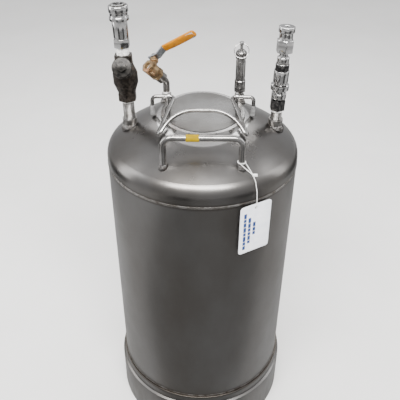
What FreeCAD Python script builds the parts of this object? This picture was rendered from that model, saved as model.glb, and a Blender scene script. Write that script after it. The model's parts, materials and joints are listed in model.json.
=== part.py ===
"""Portable stainless steel pressure vessel with a bail-clamped oval lid and four top ports.

The origin is on the floor under the vessel's axis, +Z is up and -Y is the front, where
the carrying handle and the tag are. All sizes are in millimetres.
"""
import FreeCAD, Part
import math
import os
import re
import Sketcher

Vector = FreeCAD.Vector
doc = FreeCAD.newDocument("PressureVessel")

SIZES = {
    # vessel
    "tank_radius": 152.5, "wall": 1.6, "seam_height": 524, "lower_seam_height": 97,
    "weld_width": 2.4, "weld_proud": 0.35,
    "head_flange": 11.5, "crown_radius": 238, "knuckle_radius": 26, "head_wall": 2,
    "bottom_crown": 330, "head_lap": 6,
    "skirt_band": 3.3, "skirt_flare": 8, "skirt_wall": 2.5, "skirt_step": 78,
    "skirt_joggle": 8, "skirt_taper": 0.6,
    # all edges: the usual chamfer, and how far a cut runs past a face
    "edge": 1, "overrun": 1,
    # mouth: half widths of the oval across the vessel, and half lengths from front to back
    "collar_half_width": 71, "collar_half_length": 86, "collar_height": 22.2,
    "rim_drop": 3.18, "rim_half_width": 64.5, "rim_half_length": 75.5, "rim_lip": 4,
    "mouth_half_width": 59, "mouth_half_length": 70, "collar_wall": 2.6,
    # lid
    "lid_gap": 0.9, "lid_panel_rise": 0.6, "lid_flange_thick": 3,
    "lid_flange_width": 3.4, "seal_section": 5.4, "seal_gap": 0.3, "lid_wall": 3,
    "lug_x": 52, "lug_thick": 4, "lug_width": 16, "lug_top_radius": 7, "axle_rise": 23.3,
    "axle_y": 2, "bail_rod": 6, "bail_clearance": 0.35,
    "bail_arm_room": 3, "bail_leg_x": 78, "bail_corner_x": 71, "bail_corner_y": -76,
    "bail_corner_drop": 15.2, "bail_arch_x": 42, "bail_arch_y": -40, "bail_arch_rise": 20.8,
    "bail_leg_bend": 7, "bail_arm_bend": 3.9, "bail_hairpin": 3.9, "bail_arch_bend": 52,
    "foot_radius": 4.2, "foot_length": 19, "foot_gap": 0.3, "foot_grip": 14, "foot_room": 2,
    # carrying handle
    "handle_rod": 9.5, "handle_half_width": 55.5, "handle_inset": 40.5, "handle_rise": 46.1,
    "handle_root": 6,
    "handle_corner": 13, "band_start": -23, "band_length": 18, "band_thick": 0.6,
    # ports
    "port_inset": 39, "port_lean": 1.8, "coupling_od": 22.6,
    "coupling_height": 15, "coupling_depth": 12, "hole_reach": 20,
    "bead_radius": 2.6, "bead_rise": 3.4,
    "rear_port_x": 60, "rear_port_y": 66, "rear_coupling_od": 15.5, "thread_gap": 0.1,
    "dip_tube_od": 9.5, "dip_tube_wall": 1, "dip_tube_drop": 12.4, "inlet_tube_length": 26,
    "tube_collar": 1,
    # left stack, heights from the dome along the port's axis
    "nipple_od": 18, "pipe_wall": 2.3, "nipple_start": 2, "check_base": 45, "engage": 8,
    "tape_height": 3.2, "tape_thick": 0.7,
    "check_hex": 25.4, "check_hex_height": 12, "check_centre": 80, "bonnet_centre": 90,
    "check_radius": 18.5, "belly_low": 7, "belly_high": 8, "neck_step": 1.5, "roof_wall": 4,
    "roof_slope": 8,
    "check_neck_radius": 12, "check_cavity": 13.5, "check_seat": 66, "check_roof": 97,
    "check_port_radius": 6.5, "check_top_hex": 24.5, "check_shoulder": 104, "check_top": 116,
    "bonnet_radius": 14.8, "bonnet_bore": 10.5, "bonnet_reach": 26, "bonnet_thick": 4,
    "bonnet_hex": 13, "bonnet_hex_height": 5, "bonnet_lean": 58,
    "disc_radius": 10.3, "disc_thick": 2.2, "disc_eye_y": 10, "arm_width": 3, "disc_eye_z": 71,
    "disc_eye_radius": 2.6, "hinge_pin_radius": 1, "hinge_pin_length": 15, "pin_gap": 0.06,
    "upper_nipple_od": 17, "coupler_base": 127.5, "coupler_hex": 21, "coupler_hex_height": 12,
    "coupler_od": 22, "coupler_bore": 13.6, "coupler_mouth": 14, "coupler_mouth_z": 173,
    "coupler_neck_od": 19, "coupler_floor": 148,
    "coupler_shoulder": 168.5, "coupler_top": 188.5, "coupler_grip_groove": 1,
    "coupler_way": 8, "groove_low": 5, "groove_high": 11, "groove_depth": 1.2,
    "sleeve_od": 28, "sleeve_bottom": 166, "sleeve_top": 186.7, "sleeve_land": 181,
    "slide_gap": 0.3, "spring_wire": 1.1, "lock_ball_radius": 1.2,
    "lock_ball_z": 183.5, "stop_ring_width": 1.3, "stop_ring_height": 1,
    "poppet_radius": 6.4, "poppet_z": 160, "poppet_thick": 3, "poppet_stem": 2,
    "poppet_top": 172, "seal_ring_height": 2,
    # right stack, heights from the dome along the port's axis
    "right_nipple_od": 17.2, "adapter_base": 31, "adapter_hex": 21, "adapter_shoulder": 47,
    "socket_way": 9,
    "adapter_neck_od": 15, "socket_base": 50, "socket_ring_od": 22.6, "socket_ring_top": 57.7,
    "socket_groove_od": 18.5, "socket_flange_z": 64, "socket_flange_od": 27.4,
    "socket_flange_top": 71.5, "socket_neck_od": 16, "socket_bore": 12.4, "socket_floor": 78,
    "socket_top": 106.5, "grip_bottom": 76, "grip_od": 22.8, "grip_step": 94, "grip_top": 104.4,
    "grip_nose_od": 19.4, "grip_land": 92, "socket_ball_z": 100.5,
    "plug_od": 12, "plug_tip": 84, "plug_cap_od": 17.8, "plug_cap_top": 114,
    "plug_neck_od": 12.8, "plug_hex_z": 121.5, "plug_hex": 22.4, "plug_hex_top": 139.5,
    "plug_barrel_od": 19.6, "plug_flare_z": 149.5, "plug_flare_od": 23.4, "plug_top": 158.5,
    "plug_bore": 7,
    # rear right relief valve
    "relief_nipple_od": 10.4, "relief_base": 20, "relief_hex": 17.5, "relief_hex_top": 28,
    "relief_flange_od": 17.4, "relief_flange_top": 39, "relief_od": 15.6, "relief_bore": 12,
    "relief_seat": 43, "relief_port": 6, "relief_top": 70.5, "relief_groove_od": 14.6,
    "relief_joint": 75.5, "relief_cap_od": 17.4, "relief_cap_shoulder": 85,
    "relief_cap_top": 89, "relief_cap_nose": 10, "relief_stem_od": 4.6,
    "relief_stem_top": 102, "relief_knob_od": 7, "relief_knob_z": 96, "relief_eye_z": 99,
    "relief_eye_radius": 1.3, "relief_disc_thick": 2.7, "relief_wire": 1.3,
    "ring_radius": 11.5, "ring_wire": 1.5, "ring_tilt": 27,
    # rear left ball valve, lengths along the flow axis from the elbow's bell
    "elbow_od": 11, "elbow_rise": 35, "elbow_bend": 12, "elbow_leg": 9, "elbow_bell_od": 18,
    "elbow_bell_length": 11, "elbow_wall": 2, "elbow_lean": 45, "elbow_bearing": 35,
    "valve_hex": 19, "valve_hex_length": 7, "valve_body_od": 21, "end_cap_length": 6.4,
    "seat_sink": 1, "valve_centre": 13, "valve_bore": 6.4, "ball_radius": 7.6,
    "ball_gap": 0.35, "seat_width": 2, "seat_bore": 8.6,
    "gland_od": 11, "gland_top": 16.5, "packing_hex": 13, "packing_top": 22,
    "stem_od": 5, "stem_top": 33, "stem_turn": 45, "stem_nut_hex": 9, "stem_nut_height": 3.6,
    "lever_thick": 2.4, "lever_width": 12, "lever_z": 25, "lever_rise": 9,
    "lever_tail": 8, "lever_bend_start": 9, "lever_bend_end": 20, "lever_length": 78,
    "grip_thick": 1.3, "grip_length": 56,
    # hanging tag
    "tag_angle": 30, "tag_gap": 3.3, "tag_drop": 46.4, "tag_width": 53.5,
    "tag_height": 86, "tag_thick": 0.8, "tag_corner": 5, "tag_hole": 2.2, "tag_hole_drop": 6.5,
    "tie_wire": 1.1, "tie_block": 7, "tie_gap": 0.3, "tie_rise": 9, "tie_bend": 5,
    "block_inset": 9, "block_drop": 5.5, "block_sink": 1,
    "bow_inset": 2, "bow_drop": 13, "fall_gap": 3.1, "fall_drop": 28, "fall_end": 2,
    "tie_pass": 2.6, "tie_clear": 0.4,
}

CROWN_Z = ("(seam_height + head_flange - sqrt((crown_radius - knuckle_radius)^2"
           " - (tank_radius - knuckle_radius)^2))")


def dome_height(x, y):
    """Expression for the height of the domed head's outside over a point of the plan."""
    return "(%s + sqrt(crown_radius^2 - (%s)^2 - (%s)^2))" % (CROWN_Z, x, y)


# places that follow from the sizes above
PLACES = {
    "skirt_band_radius": "tank_radius + skirt_band",
    "skirt_radius": "tank_radius + skirt_flare",
    "rim_height": CROWN_Z + " + crown_radius - rim_drop",
    "collar_root": "rim_height - collar_height",
    "axle_height": "rim_height + axle_rise",
    "bail_arm_x": "lug_x - lug_thick / 2 - bail_rod / 2 - bail_arm_room",
    "bail_corner_z": "rim_height - bail_corner_drop",
    "bail_arch_z": "rim_height + bail_arch_rise",
    "bail_foot_z": dome_height("bail_leg_x", "axle_y") + " + foot_gap",
    "bail_leg_end": "bail_foot_z + foot_length - foot_grip + foot_room",
    "handle_y": "handle_inset - tank_radius",
    "handle_foot_z": dome_height("handle_half_width", "handle_y"),
    "handle_height": "handle_foot_z + handle_rise",
    "port_x": "tank_radius - port_inset",
    "dip_tube_length": dome_height("port_x", "0") + " - lower_seam_height + dip_tube_drop",
    "valve_body_length": "valve_centre + ball_radius + seat_width - seat_sink",
    "valve_length": "valve_body_length + end_cap_length",
    "tag_radius": "tank_radius + tag_gap",
    "tag_top": "handle_foot_z - tag_drop",
}

LEAST_CUT = 0.1  # cubic millimetres, less than any real cut

sheet = doc.addObject("Spreadsheet::Sheet", "Sizes")
for row, (alias, content) in enumerate((SIZES | PLACES).items(), start=1):
    sheet.set("A%d" % row, alias)
    sheet.set("B%d" % row, "=" + content if alias in PLACES else str(content))
    sheet.setAlias("B%d" % row, alias)
doc.recompute()

PARTS = []


# ---- expressions and placement -------------------------------------------------------

def linked(text):
    """The same expression with every size name pointing at its cell in the sheet."""
    return re.sub(r"[a-z_]{4,}", lambda word: "Sizes." + word.group()
                  if word.group() in SIZES | PLACES else word.group(), str(text))


def value(text):
    """The number that an expression of size names gives now."""
    return float(sheet.evalExpression(linked(text)))


def bind(item, name, text):
    """Tie one property of an object to an expression of size names."""
    item.setExpression(name, linked(text))


def place(item, position, axis=(0, 0, 1), angle=0):
    """Put an object at three expressions, turned about an axis by an expression in degrees."""
    item.Placement = FreeCAD.Placement(Vector(), FreeCAD.Rotation(Vector(*axis), 1))
    bind(item, "Placement.Rotation.Angle", angle)
    for letter, text in zip("xyz", position):
        bind(item, "Placement.Base." + letter, text)
    return item


def keep(item, label):
    """Name a finished sub-part, so that it is written to its own file."""
    item.Label = label
    PARTS.append(item)
    return item


PORTS = {
    "left": ("-port_x", "0", "-port_lean"),
    "right": ("port_x", "0", "port_lean"),
    "gas": ("-rear_port_x", "rear_port_y", "0"),
    "relief": ("rear_port_x", "rear_port_y", "0"),
}


def on_port(item, port):
    """Stand an object on a port: its own +Z follows the port's axis, from the dome up."""
    x, y, lean = PORTS[port]
    return place(item, (x, y, dome_height(x, y)), (0, 1, 0), lean)


THREADS = {"left": "nipple_od", "right": "right_nipple_od", "gas": "elbow_od",
           "relief": "relief_nipple_od"}


def port_bore(port):
    """Bore of a coupling, from the pipe that screws into it."""
    return "(%s + 2 * thread_gap)" % THREADS[port]


def port_point(port, height):
    """A point on a port's axis, as numbers."""
    x, y, lean = PORTS[port]
    base = Vector(value(x), value(y), value(dome_height(x, y)))
    turn = FreeCAD.Rotation(Vector(0, 1, 0), value(lean))
    return base + turn.multVec(Vector(0, 0, height))


# ---- sketches and solids -------------------------------------------------------------

def new_body(name):
    return doc.addObject("PartDesign::Body", name)


def new_sketch(body, name, role):
    """A sketch on one of the body's own origin planes."""
    sketch = body.newObject("Sketcher::SketchObject", name)
    plane = [feature for feature in body.Origin.OriginFeatures if feature.Role == role][0]
    sketch.AttachmentSupport = [(plane, "")]
    sketch.MapMode = "FlatFace"
    return sketch


def pin_point(sketch, curve, end, point):
    """Fix a curve's end at two expressions measured from the sketch's origin."""
    for kind, axis, text in (("DistanceX", -2, point[0]), ("DistanceY", -1, point[1])):
        distance = value(text)
        if abs(distance) < 1e-9:
            sketch.addConstraint(Sketcher.Constraint("PointOnObject", curve, end, axis))
            continue
        index = sketch.addConstraint(
            Sketcher.Constraint(kind, -1, 1, curve, end, distance))
        bind(sketch, "Constraints[%d]" % index, text)


def draw(sketch, points):
    """A closed outline through points (x, y) or (x, y, r), each an expression.

    A third value makes the side that leaves the point an arc of that radius, which
    turns left, or right if the radius starts with a minus sign.
    """
    corners = [Vector(value(p[0]), value(p[1]), 0) for p in points]
    ends = []
    for index, point in enumerate(points):
        start, stop = corners[index], corners[(index + 1) % len(points)]
        if len(point) == 2:
            curve = sketch.addGeometry(Part.LineSegment(start, stop), False)
            ends.append((curve, 1, 2))
            continue
        turns_right = point[2].startswith("-")
        text = point[2].lstrip("-")
        radius = value(text)
        chord = stop - start
        side = Vector(-chord.y, chord.x, 0).normalize()
        sagitta_side = -1 if turns_right else 1
        reach = (radius ** 2 - (chord.Length / 2) ** 2) ** 0.5
        centre = (start + stop) * 0.5 + side * reach * sagitta_side
        first, last = (stop, start) if turns_right else (start, stop)
        circle = Part.Circle(centre, Vector(0, 0, 1), radius)
        arc = Part.ArcOfCircle(circle, circle.parameter(first), circle.parameter(last))
        curve = sketch.addGeometry(arc, False)
        ends.append((curve, 2, 1) if turns_right else (curve, 1, 2))
        limit = sketch.addConstraint(Sketcher.Constraint("Radius", curve, radius))
        bind(sketch, "Constraints[%d]" % limit, text)
    for index, (curve, start, stop) in enumerate(ends):
        following = ends[(index + 1) % len(ends)]
        sketch.addConstraint(
            Sketcher.Constraint("Coincident", curve, stop, following[0], following[1]))
        pin_point(sketch, curve, start, points[index])


def turned(label, points, body=None, kind="Revolution"):
    """A ring or shaft turned about the body's own Z axis from points (radius, height)."""
    body = body or new_body(label + "_body")
    sketch = new_sketch(body, label + "_profile", "XZ_Plane")
    draw(sketch, points)
    feature = body.newObject("PartDesign::" + kind, label + "_turn")
    feature.Profile = sketch
    feature.ReferenceAxis = (sketch, ["V_Axis"])
    feature.Angle = 360
    sketch.Visibility = False
    return body


def tube(label, inner, outer, bottom, top, body=None, kind="Revolution"):
    """A plain ring between two radii and two heights."""
    return turned(label, [(inner, bottom), (outer, bottom), (outer, top), (inner, top)],
                  body, kind)


def hexagon(label, flats, bottom, height, bore=None, body=None):
    """A hexagonal prism, with a round hole if a bore radius is given."""
    body = body or new_body(label + "_body")
    sketch = new_sketch(body, label + "_hex", "XY_Plane")
    reach = "(%s) / sqrt(3)" % flats
    draw(sketch, [("%s * cos(%d)" % (reach, angle), "%s * sin(%d)" % (reach, angle))
                  for angle in range(30, 390, 60)])
    if bore:
        add_circle(sketch, bore)
    bind(sketch, "AttachmentOffset.Base.z", bottom)
    pad = body.newObject("PartDesign::Pad", label + "_pad")
    pad.Profile = sketch
    bind(pad, "Length", height)
    return body


def add_circle(sketch, radius, x="0", y="0"):
    centre = Vector(value(x), value(y), 0)
    curve = sketch.addGeometry(Part.Circle(centre, Vector(0, 0, 1), value(radius)), False)
    pin_point(sketch, curve, 3, (x, y))
    index = sketch.addConstraint(Sketcher.Constraint("Radius", curve, value(radius)))
    bind(sketch, "Constraints[%d]" % index, radius)


def add_oval(sketch, half_width, half_length):
    """An ellipse on the sketch's origin, long from front to back."""
    ends = Vector(0, value(half_length), 0), Vector(value(half_width), 0, 0)
    curve = sketch.addGeometry(Part.Ellipse(ends[0], ends[1], Vector()), False)
    sketch.exposeInternalGeometry(curve)
    sketch.addConstraint(Sketcher.Constraint("Coincident", curve, 3, -1, 1))
    sketch.addConstraint(Sketcher.Constraint("Vertical", curve + 1))
    for line, half in ((curve + 1, half_length), (curve + 2, half_width)):
        index = sketch.addConstraint(Sketcher.Constraint("Distance", line, 2 * value(half)))
        bind(sketch, "Constraints[%d]" % index, "2 * (%s)" % half)


def oval_sketch(body, name, half_width, half_length, height):
    sketch = new_sketch(body, name, "XY_Plane")
    add_oval(sketch, half_width, half_length)
    bind(sketch, "AttachmentOffset.Base.z", height)
    return sketch


def oval_slab(body, name, half_width, half_length, bottom, height, kind="Pad"):
    """Pad or pocket an oval upwards from a height."""
    sketch = oval_sketch(body, name + "_oval", half_width, half_length, bottom)
    feature = body.newObject("PartDesign::" + kind, name)
    feature.Profile = sketch
    feature.Reversed = kind == "Pocket"
    bind(feature, "Length", height)
    return feature


def oval_loft(body, name, kind, sections):
    """Loft through ovals given as (half width, half length, height)."""
    ovals = [oval_sketch(body, "%s_%d" % (name, index), *section)
             for index, section in enumerate(sections)]
    loft = body.newObject("PartDesign::" + kind, name)
    loft.Profile = ovals[0]
    loft.Sections = ovals[1:]
    return loft


def cut(label, base, tool):
    item = doc.addObject("Part::Cut", label + "_cut")
    item.Base = base
    item.Tool = tool
    return item


def fuse(label, pieces):
    item = doc.addObject("Part::MultiFuse", label + "_fuse")
    item.Shapes = pieces
    return item


def group(label, pieces):
    """Separate solids that share one node."""
    item = doc.addObject("Part::Compound", label + "_group")
    item.Links = pieces
    return keep(item, label)


def cylinder(name, radius, height):
    item = doc.addObject("Part::Cylinder", name)
    bind(item, "Radius", radius)
    bind(item, "Height", height)
    return item


def crown_ball(name):
    """The sphere that the dome's outside is part of."""
    item = doc.addObject("Part::Sphere", name)
    bind(item, "Radius", "crown_radius")
    bind(item, "Placement.Base.z", CROWN_Z)
    return item


def coil(label, radius, wire, bottom, top, turns):
    """A compression spring on the local Z axis."""
    helix = doc.addObject("Part::Helix", label + "_helix")
    bind(helix, "Radius", radius)
    bind(helix, "Height", "(%s) - (%s) - (%s)" % (top, bottom, wire))
    bind(helix, "Pitch", "((%s) - (%s) - (%s)) / %d" % (top, bottom, wire, turns))
    bind(helix, "Placement.Base.z", "(%s) + (%s) / 2" % (bottom, wire))
    helix.SegmentLength = 1
    section = doc.addObject("Part::Circle", label + "_section")
    bind(section, "Radius", "(%s) / 2" % wire)
    section.Placement = FreeCAD.Placement(Vector(), FreeCAD.Rotation(Vector(1, 0, 0), 90))
    bind(section, "Placement.Base.x", radius)
    bind(section, "Placement.Base.z", "(%s) + (%s) / 2" % (bottom, wire))
    doc.recompute()
    sweep = doc.addObject("Part::Sweep", label + "_sweep")
    sweep.Sections = [section]
    sweep.Spine = (helix, ["Edge%d" % (n + 1) for n in range(len(helix.Shape.Edges))])
    sweep.Solid = True
    sweep.Frenet = True
    return sweep


def rod(label, route, radius, corners=()):
    """A bent round rod through points, its inner points rounded by the given radii."""
    path = Part.Wire(rounded(route, corners))
    start = (route[1] - route[0]).normalize()
    section = Part.Wire([Part.Edge(Part.Circle(route[0], start, radius))])
    item = doc.addObject("Part::Feature", label)
    item.Shape = path.makePipeShell([section], True, False)
    return item


def rounded(route, corners):
    """Edges of a polyline whose inner points are arcs tangent to their two runs."""
    edges = []
    start = route[0]
    for before, point, after, corner in zip(route, route[1:], route[2:], corners):
        back = (before - point).normalize()
        ahead = (after - point).normalize()
        half = back.getAngle(ahead) / 2
        trim = corner / math.tan(half)
        first = point + back * trim
        last = point + ahead * trim
        inward = (back + ahead).normalize()
        middle = point + inward * (corner / math.sin(half) - corner)
        edges.append(Part.LineSegment(start, first).toShape())
        edges.append(Part.Arc(first, middle, last).toShape())
        start = last
    edges.append(Part.LineSegment(start, route[-1]).toShape())
    return edges


# ---- vessel --------------------------------------------------------------------------

def dome_profile(inset):
    """Corner and arc points of the domed head, from its rim in to the axis."""
    crown = "(crown_radius - (%s))" % inset
    knuckle = "(knuckle_radius - (%s))" % inset
    share = "((tank_radius - knuckle_radius) / (crown_radius - knuckle_radius))"
    touch = ("%s * %s" % (crown, share),
             "%s + %s * sqrt(1 - %s^2)" % (CROWN_Z, crown, share))
    tangent = ("tank_radius - (%s)" % inset, "seam_height + head_flange")
    apex = ("0", "%s + %s" % (CROWN_Z, crown))
    return tangent, touch, apex, knuckle, crown


def make_shell():
    shell = tube("shell_cylinder", "tank_radius - wall", "tank_radius",
                 "lower_seam_height + weld_width / 2", "seam_height - weld_width / 2")
    keep(shell, "shell_cylinder")
    seams = []
    for label, height in (("upper_girth_weld", "seam_height"),
                          ("lower_girth_weld", "lower_seam_height")):
        low = "%s - weld_width / 2" % height
        high = "%s + weld_width / 2" % height
        bead = turned(label, [("tank_radius - wall", low), ("tank_radius", low),
                              ("tank_radius + weld_proud", height),
                              ("tank_radius", high), ("tank_radius - wall", high)])
        seams.append(bead)
    group("girth_welds", seams)


def make_top_head():
    """Domed head with a raised oval collar that leads in to the mouth."""
    outer, outer_touch, apex, knuckle, crown = dome_profile("0")
    inner, inner_touch, inner_apex, inner_knuckle, inner_crown = dome_profile("head_wall")
    low = "seam_height + weld_width / 2"
    head = turned("top_head", [
        (inner[0], low), ("tank_radius", low), outer + (knuckle,), outer_touch + (crown,),
        apex, inner_apex + ("-" + inner_crown,), inner_touch + ("-" + inner_knuckle,), inner])
    oval_loft(head, "collar", "AdditiveLoft", [
        ("collar_half_width", "collar_half_length", "collar_root"),
        ("rim_half_width + (collar_half_width - rim_half_width) * 0.3",
         "rim_half_length + (collar_half_length - rim_half_length) * 0.3",
         "rim_height - (rim_height - collar_root) * 0.45"),
        ("rim_half_width", "rim_half_length", "rim_height")])
    oval_loft(head, "collar_inside", "SubtractiveLoft", [
        ("collar_half_width - collar_wall", "collar_half_length - collar_wall",
         "collar_root - overrun"),
        ("mouth_half_width + lid_flange_width + lid_gap / 2",
         "mouth_half_length + lid_flange_width + lid_gap / 2", "rim_height - rim_lip")])
    oval_slab(head, "mouth", "mouth_half_width", "mouth_half_length",
              "rim_height - rim_lip - edge", "rim_lip + 8", "Pocket")
    doc.recompute()
    holes = fuse("port_holes", [
        on_port(tube("hole_" + port, "0", port_bore(port) + " / 2", "-hole_reach",
                     "hole_reach"), port)
        for port in PORTS])
    keep(cut("top_head", head, holes), "top_head")


def make_bottom():
    """Dished lower head and the skirt that the vessel stands on."""
    top = "lower_seam_height - weld_width / 2"
    centre = "(%s + sqrt(bottom_crown^2 - tank_radius^2))" % top
    inside = "(bottom_crown - head_wall)"
    edge = "(tank_radius - head_lap)"
    bottom = turned("bottom_head", [
        ("0", centre + " - bottom_crown", "bottom_crown"), ("tank_radius", top), (edge, top),
        (edge, "%s - sqrt(%s^2 - %s^2)" % (centre, inside, edge), "-" + inside),
        ("0", "%s - %s" % (centre, inside))])
    keep(bottom, "bottom_head")
    skirt = turned("foot_skirt", [
        ("tank_radius", top), ("tank_radius", "lower_seam_height - head_lap"),
        ("tank_radius - skirt_taper", "skirt_step"),
        ("skirt_radius - skirt_wall - skirt_taper", "skirt_step - skirt_joggle"),
        ("skirt_radius - skirt_wall", "0"), ("skirt_radius", "0"),
        ("skirt_radius - skirt_taper", "skirt_step - skirt_wall"),
        ("skirt_band_radius - skirt_taper", "skirt_step"),
        ("skirt_band_radius + skirt_taper", "skirt_step + skirt_taper"),
        ("skirt_band_radius", top)])
    keep(skirt, "foot_skirt")


def make_ports():
    """Half couplings welded to the dome over its port holes."""
    beads = make_handle_beads()
    for port in PORTS:
        main = port in ("left", "right")
        outside = "coupling_od / 2" if main else "rear_coupling_od / 2"
        label = "port_coupling_" + port
        body = tube(label, port_bore(port) + " / 2", outside, "-coupling_depth",
                    "coupling_height")
        on_port(body, port)
        keep(cut(label, body, crown_ball("dome_" + port)), label)
        bead = turned("port_bead_" + port, [
            (outside, "-coupling_depth"), (outside + " + bead_radius", "-coupling_depth"),
            (outside + " + bead_radius", "0"), (outside, "bead_radius + bead_rise")])
        on_port(bead, port)
        beads.append(cut("port_bead_" + port, bead, crown_ball("bead_dome_" + port)))
    group("weld_beads", beads)


def make_handle_beads():
    """Weld fillets round the handle's feet."""
    beads = []
    for name, side in (("left", "-1"), ("right", "1")):
        bead = turned("handle_bead_" + name, [
            ("handle_rod / 2", "-handle_root"),
            ("handle_rod / 2 + bead_radius", "-handle_root"),
            ("handle_rod / 2 + bead_radius", "0"),
            ("handle_rod / 2", "bead_radius + bead_rise")])
        place(bead, (side + " * handle_half_width", "handle_y", "handle_foot_z"))
        beads.append(cut("handle_bead_" + name, bead, crown_ball("handle_dome_" + name)))
    return beads


def handle_route():
    x, y = value("handle_half_width"), value("handle_y")
    foot = value("handle_foot_z - handle_root")
    top = value("handle_height")
    return [Vector(-x, y, foot), Vector(-x, y, top), Vector(x, y, top), Vector(x, y, foot)]


def make_handle():
    """Round bar handle welded to the dome, its feet cut to the dome."""
    bar = rod("handle_bar", handle_route(), value("handle_rod / 2"),
              [value("handle_corner")] * 2)
    keep(cut("front_handle", bar, crown_ball("handle_dome")), "front_handle")
    band = tube("handle_band", "handle_rod / 2", "handle_rod / 2 + band_thick", "0",
                "band_length")
    place(band, ("band_start", "handle_y", "handle_height"), (0, 1, 0), "90")
    keep(band, "handle_band")


# ---- lid -----------------------------------------------------------------------------

def make_lid():
    """Oval lid that seals against the mouth's lip from inside, with two bail lugs."""
    flange_top = "(rim_height - rim_lip - seal_section - 2 * seal_gap)"
    half_width = "(mouth_half_width - lid_gap)"
    half_length = "(mouth_half_length - lid_gap)"
    lid = new_body("lid_plate_body")
    oval_slab(lid, "flange", "mouth_half_width + lid_flange_width",
              "mouth_half_length + lid_flange_width", flange_top + " - lid_flange_thick",
              "lid_flange_thick")
    oval_slab(lid, "panel", half_width, half_length, flange_top,
              "rim_height + lid_panel_rise - " + flange_top)
    oval_slab(lid, "underside", half_width + " - lid_wall", half_length + " - lid_wall",
              flange_top + " - lid_flange_thick",
              "rim_height + lid_panel_rise - lid_wall + lid_flange_thick - " + flange_top,
              "Pocket")
    keep(lid, "lid_plate")
    seal = new_body("lid_seal_body")
    oval_slab(seal, "seal_out", "mouth_half_width + lid_flange_width - 0.2",
              "mouth_half_length + lid_flange_width - 0.2", flange_top, "seal_section")
    oval_slab(seal, "seal_in", half_width + " + seal_gap", half_length + " + seal_gap",
              flange_top + " - edge", "seal_section + 2", "Pocket")
    keep(seal, "lid_seal")
    group("lid_lugs", [make_lug("lug_left", "-1"), make_lug("lug_right", "1")])


def make_lug(label, side):
    """Upright plate with a round top, drilled for the bail."""
    low = "rim_height + lid_panel_rise"
    body = new_body(label + "_body")
    sketch = new_sketch(body, label + "_outline", "YZ_Plane")
    draw(sketch, [
        ("axle_y - lug_width / 2", low), ("axle_y + lug_width / 2", low),
        ("axle_y + lug_top_radius", "axle_height", "lug_top_radius"),
        ("axle_y", "axle_height + lug_top_radius", "lug_top_radius"),
        ("axle_y - lug_top_radius", "axle_height")])
    add_circle(sketch, "bail_rod / 2 + bail_clearance", "axle_y", "axle_height")
    bind(sketch, "AttachmentOffset.Base.z", side + " * lug_x - lug_thick / 2")
    pad = body.newObject("PartDesign::Pad", label + "_pad")
    pad.Profile = sketch
    bind(pad, "Length", "lug_thick")
    return body


def bail_half(side):
    """Points of one side of the bail: leg, axle, arm, hairpin and shoulder of the arch."""
    axle_y, axle_z = value("axle_y"), value("axle_height")
    return [
        Vector(side * value("bail_leg_x"), axle_y, value("bail_leg_end")),
        Vector(side * value("bail_leg_x"), axle_y, axle_z),
        Vector(side * value("bail_arm_x"), axle_y, axle_z),
        Vector(side * value("bail_corner_x"), value("bail_corner_y"), value("bail_corner_z")),
        Vector(side * value("bail_arch_x"), value("bail_arch_y"), value("bail_arch_z"))]


def make_bail():
    """One bent rod: two legs, an axle through each lug, two arms and an arched crossbar."""
    bends = [value(name) for name in ("bail_leg_bend", "bail_arm_bend", "bail_hairpin",
                                      "bail_arch_bend")]
    route = bail_half(-1) + bail_half(1)[::-1]
    keep(rod("bail", route, value("bail_rod / 2"), bends + bends[::-1]), "bail")
    feet = []
    for name, side in (("left", "-1"), ("right", "1")):
        foot = turned("bail_foot_" + name, [
            ("0", "0"), ("foot_radius", "foot_radius * 0.6"), ("foot_radius", "foot_length"),
            ("bail_rod / 2", "foot_length"), ("bail_rod / 2", "foot_length - foot_grip"),
            ("0", "foot_length - foot_grip")])
        place(foot, (side + " * bail_leg_x", "axle_y", "bail_foot_z"))
        feet.append(foot)
    group("bail_feet", feet)


# ---- left stack: check valve and quick coupler ---------------------------------------

def make_nipple(label, port, outside, bottom, top):
    """Threaded pipe that screws into the piece below and the piece above."""
    body = tube(label, outside + " / 2 - pipe_wall", outside + " / 2", bottom, top)
    keep(on_port(body, port), label)


def make_left_pipes():
    make_nipple("left_nipple", "left", "nipple_od", "nipple_start", "check_base + engage")
    make_nipple("left_upper_nipple", "left", "upper_nipple_od", "check_top - engage",
                "coupler_base + engage")
    make_nipple("right_nipple", "right", "right_nipple_od", "nipple_start",
                "adapter_base + engage")
    make_nipple("relief_nipple", "relief", "relief_nipple_od", "nipple_start",
                "relief_base + 5")
    rings = []
    for name, port, outside, bottom, top in (
            ("left_low", "left", "nipple_od", "check_base - tape_height", "check_base"),
            ("left_high", "left", "upper_nipple_od", "check_top", "coupler_base"),
            ("right", "right", "right_nipple_od", "adapter_base - tape_height",
             "adapter_base"),
            ("gas", "gas", "elbow_od", "coupling_height", "coupling_height + tape_height")):
        ring = tube("tape_" + name, outside + " / 2", outside + " / 2 + tape_thick",
                    bottom, top)
        rings.append(on_port(ring, port))
    group("thread_tape", rings)


def along_bonnet(item, reach):
    """Point an object's Z along the bonnet's axis, which leans forward from the valve."""
    lean = math.radians(value("bonnet_lean"))
    x, y, tilt = PORTS["left"]
    port = FreeCAD.Rotation(Vector(0, 1, 0), value(tilt))
    way = Vector(0, -math.sin(lean), math.cos(lean))
    position = port_point("left", value("bonnet_centre")) + port.multVec(way) * value(reach)
    turn = port.multiply(FreeCAD.Rotation(Vector(1, 0, 0), value("bonnet_lean")))
    item.Placement = FreeCAD.Placement(position, turn)
    return item


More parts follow.
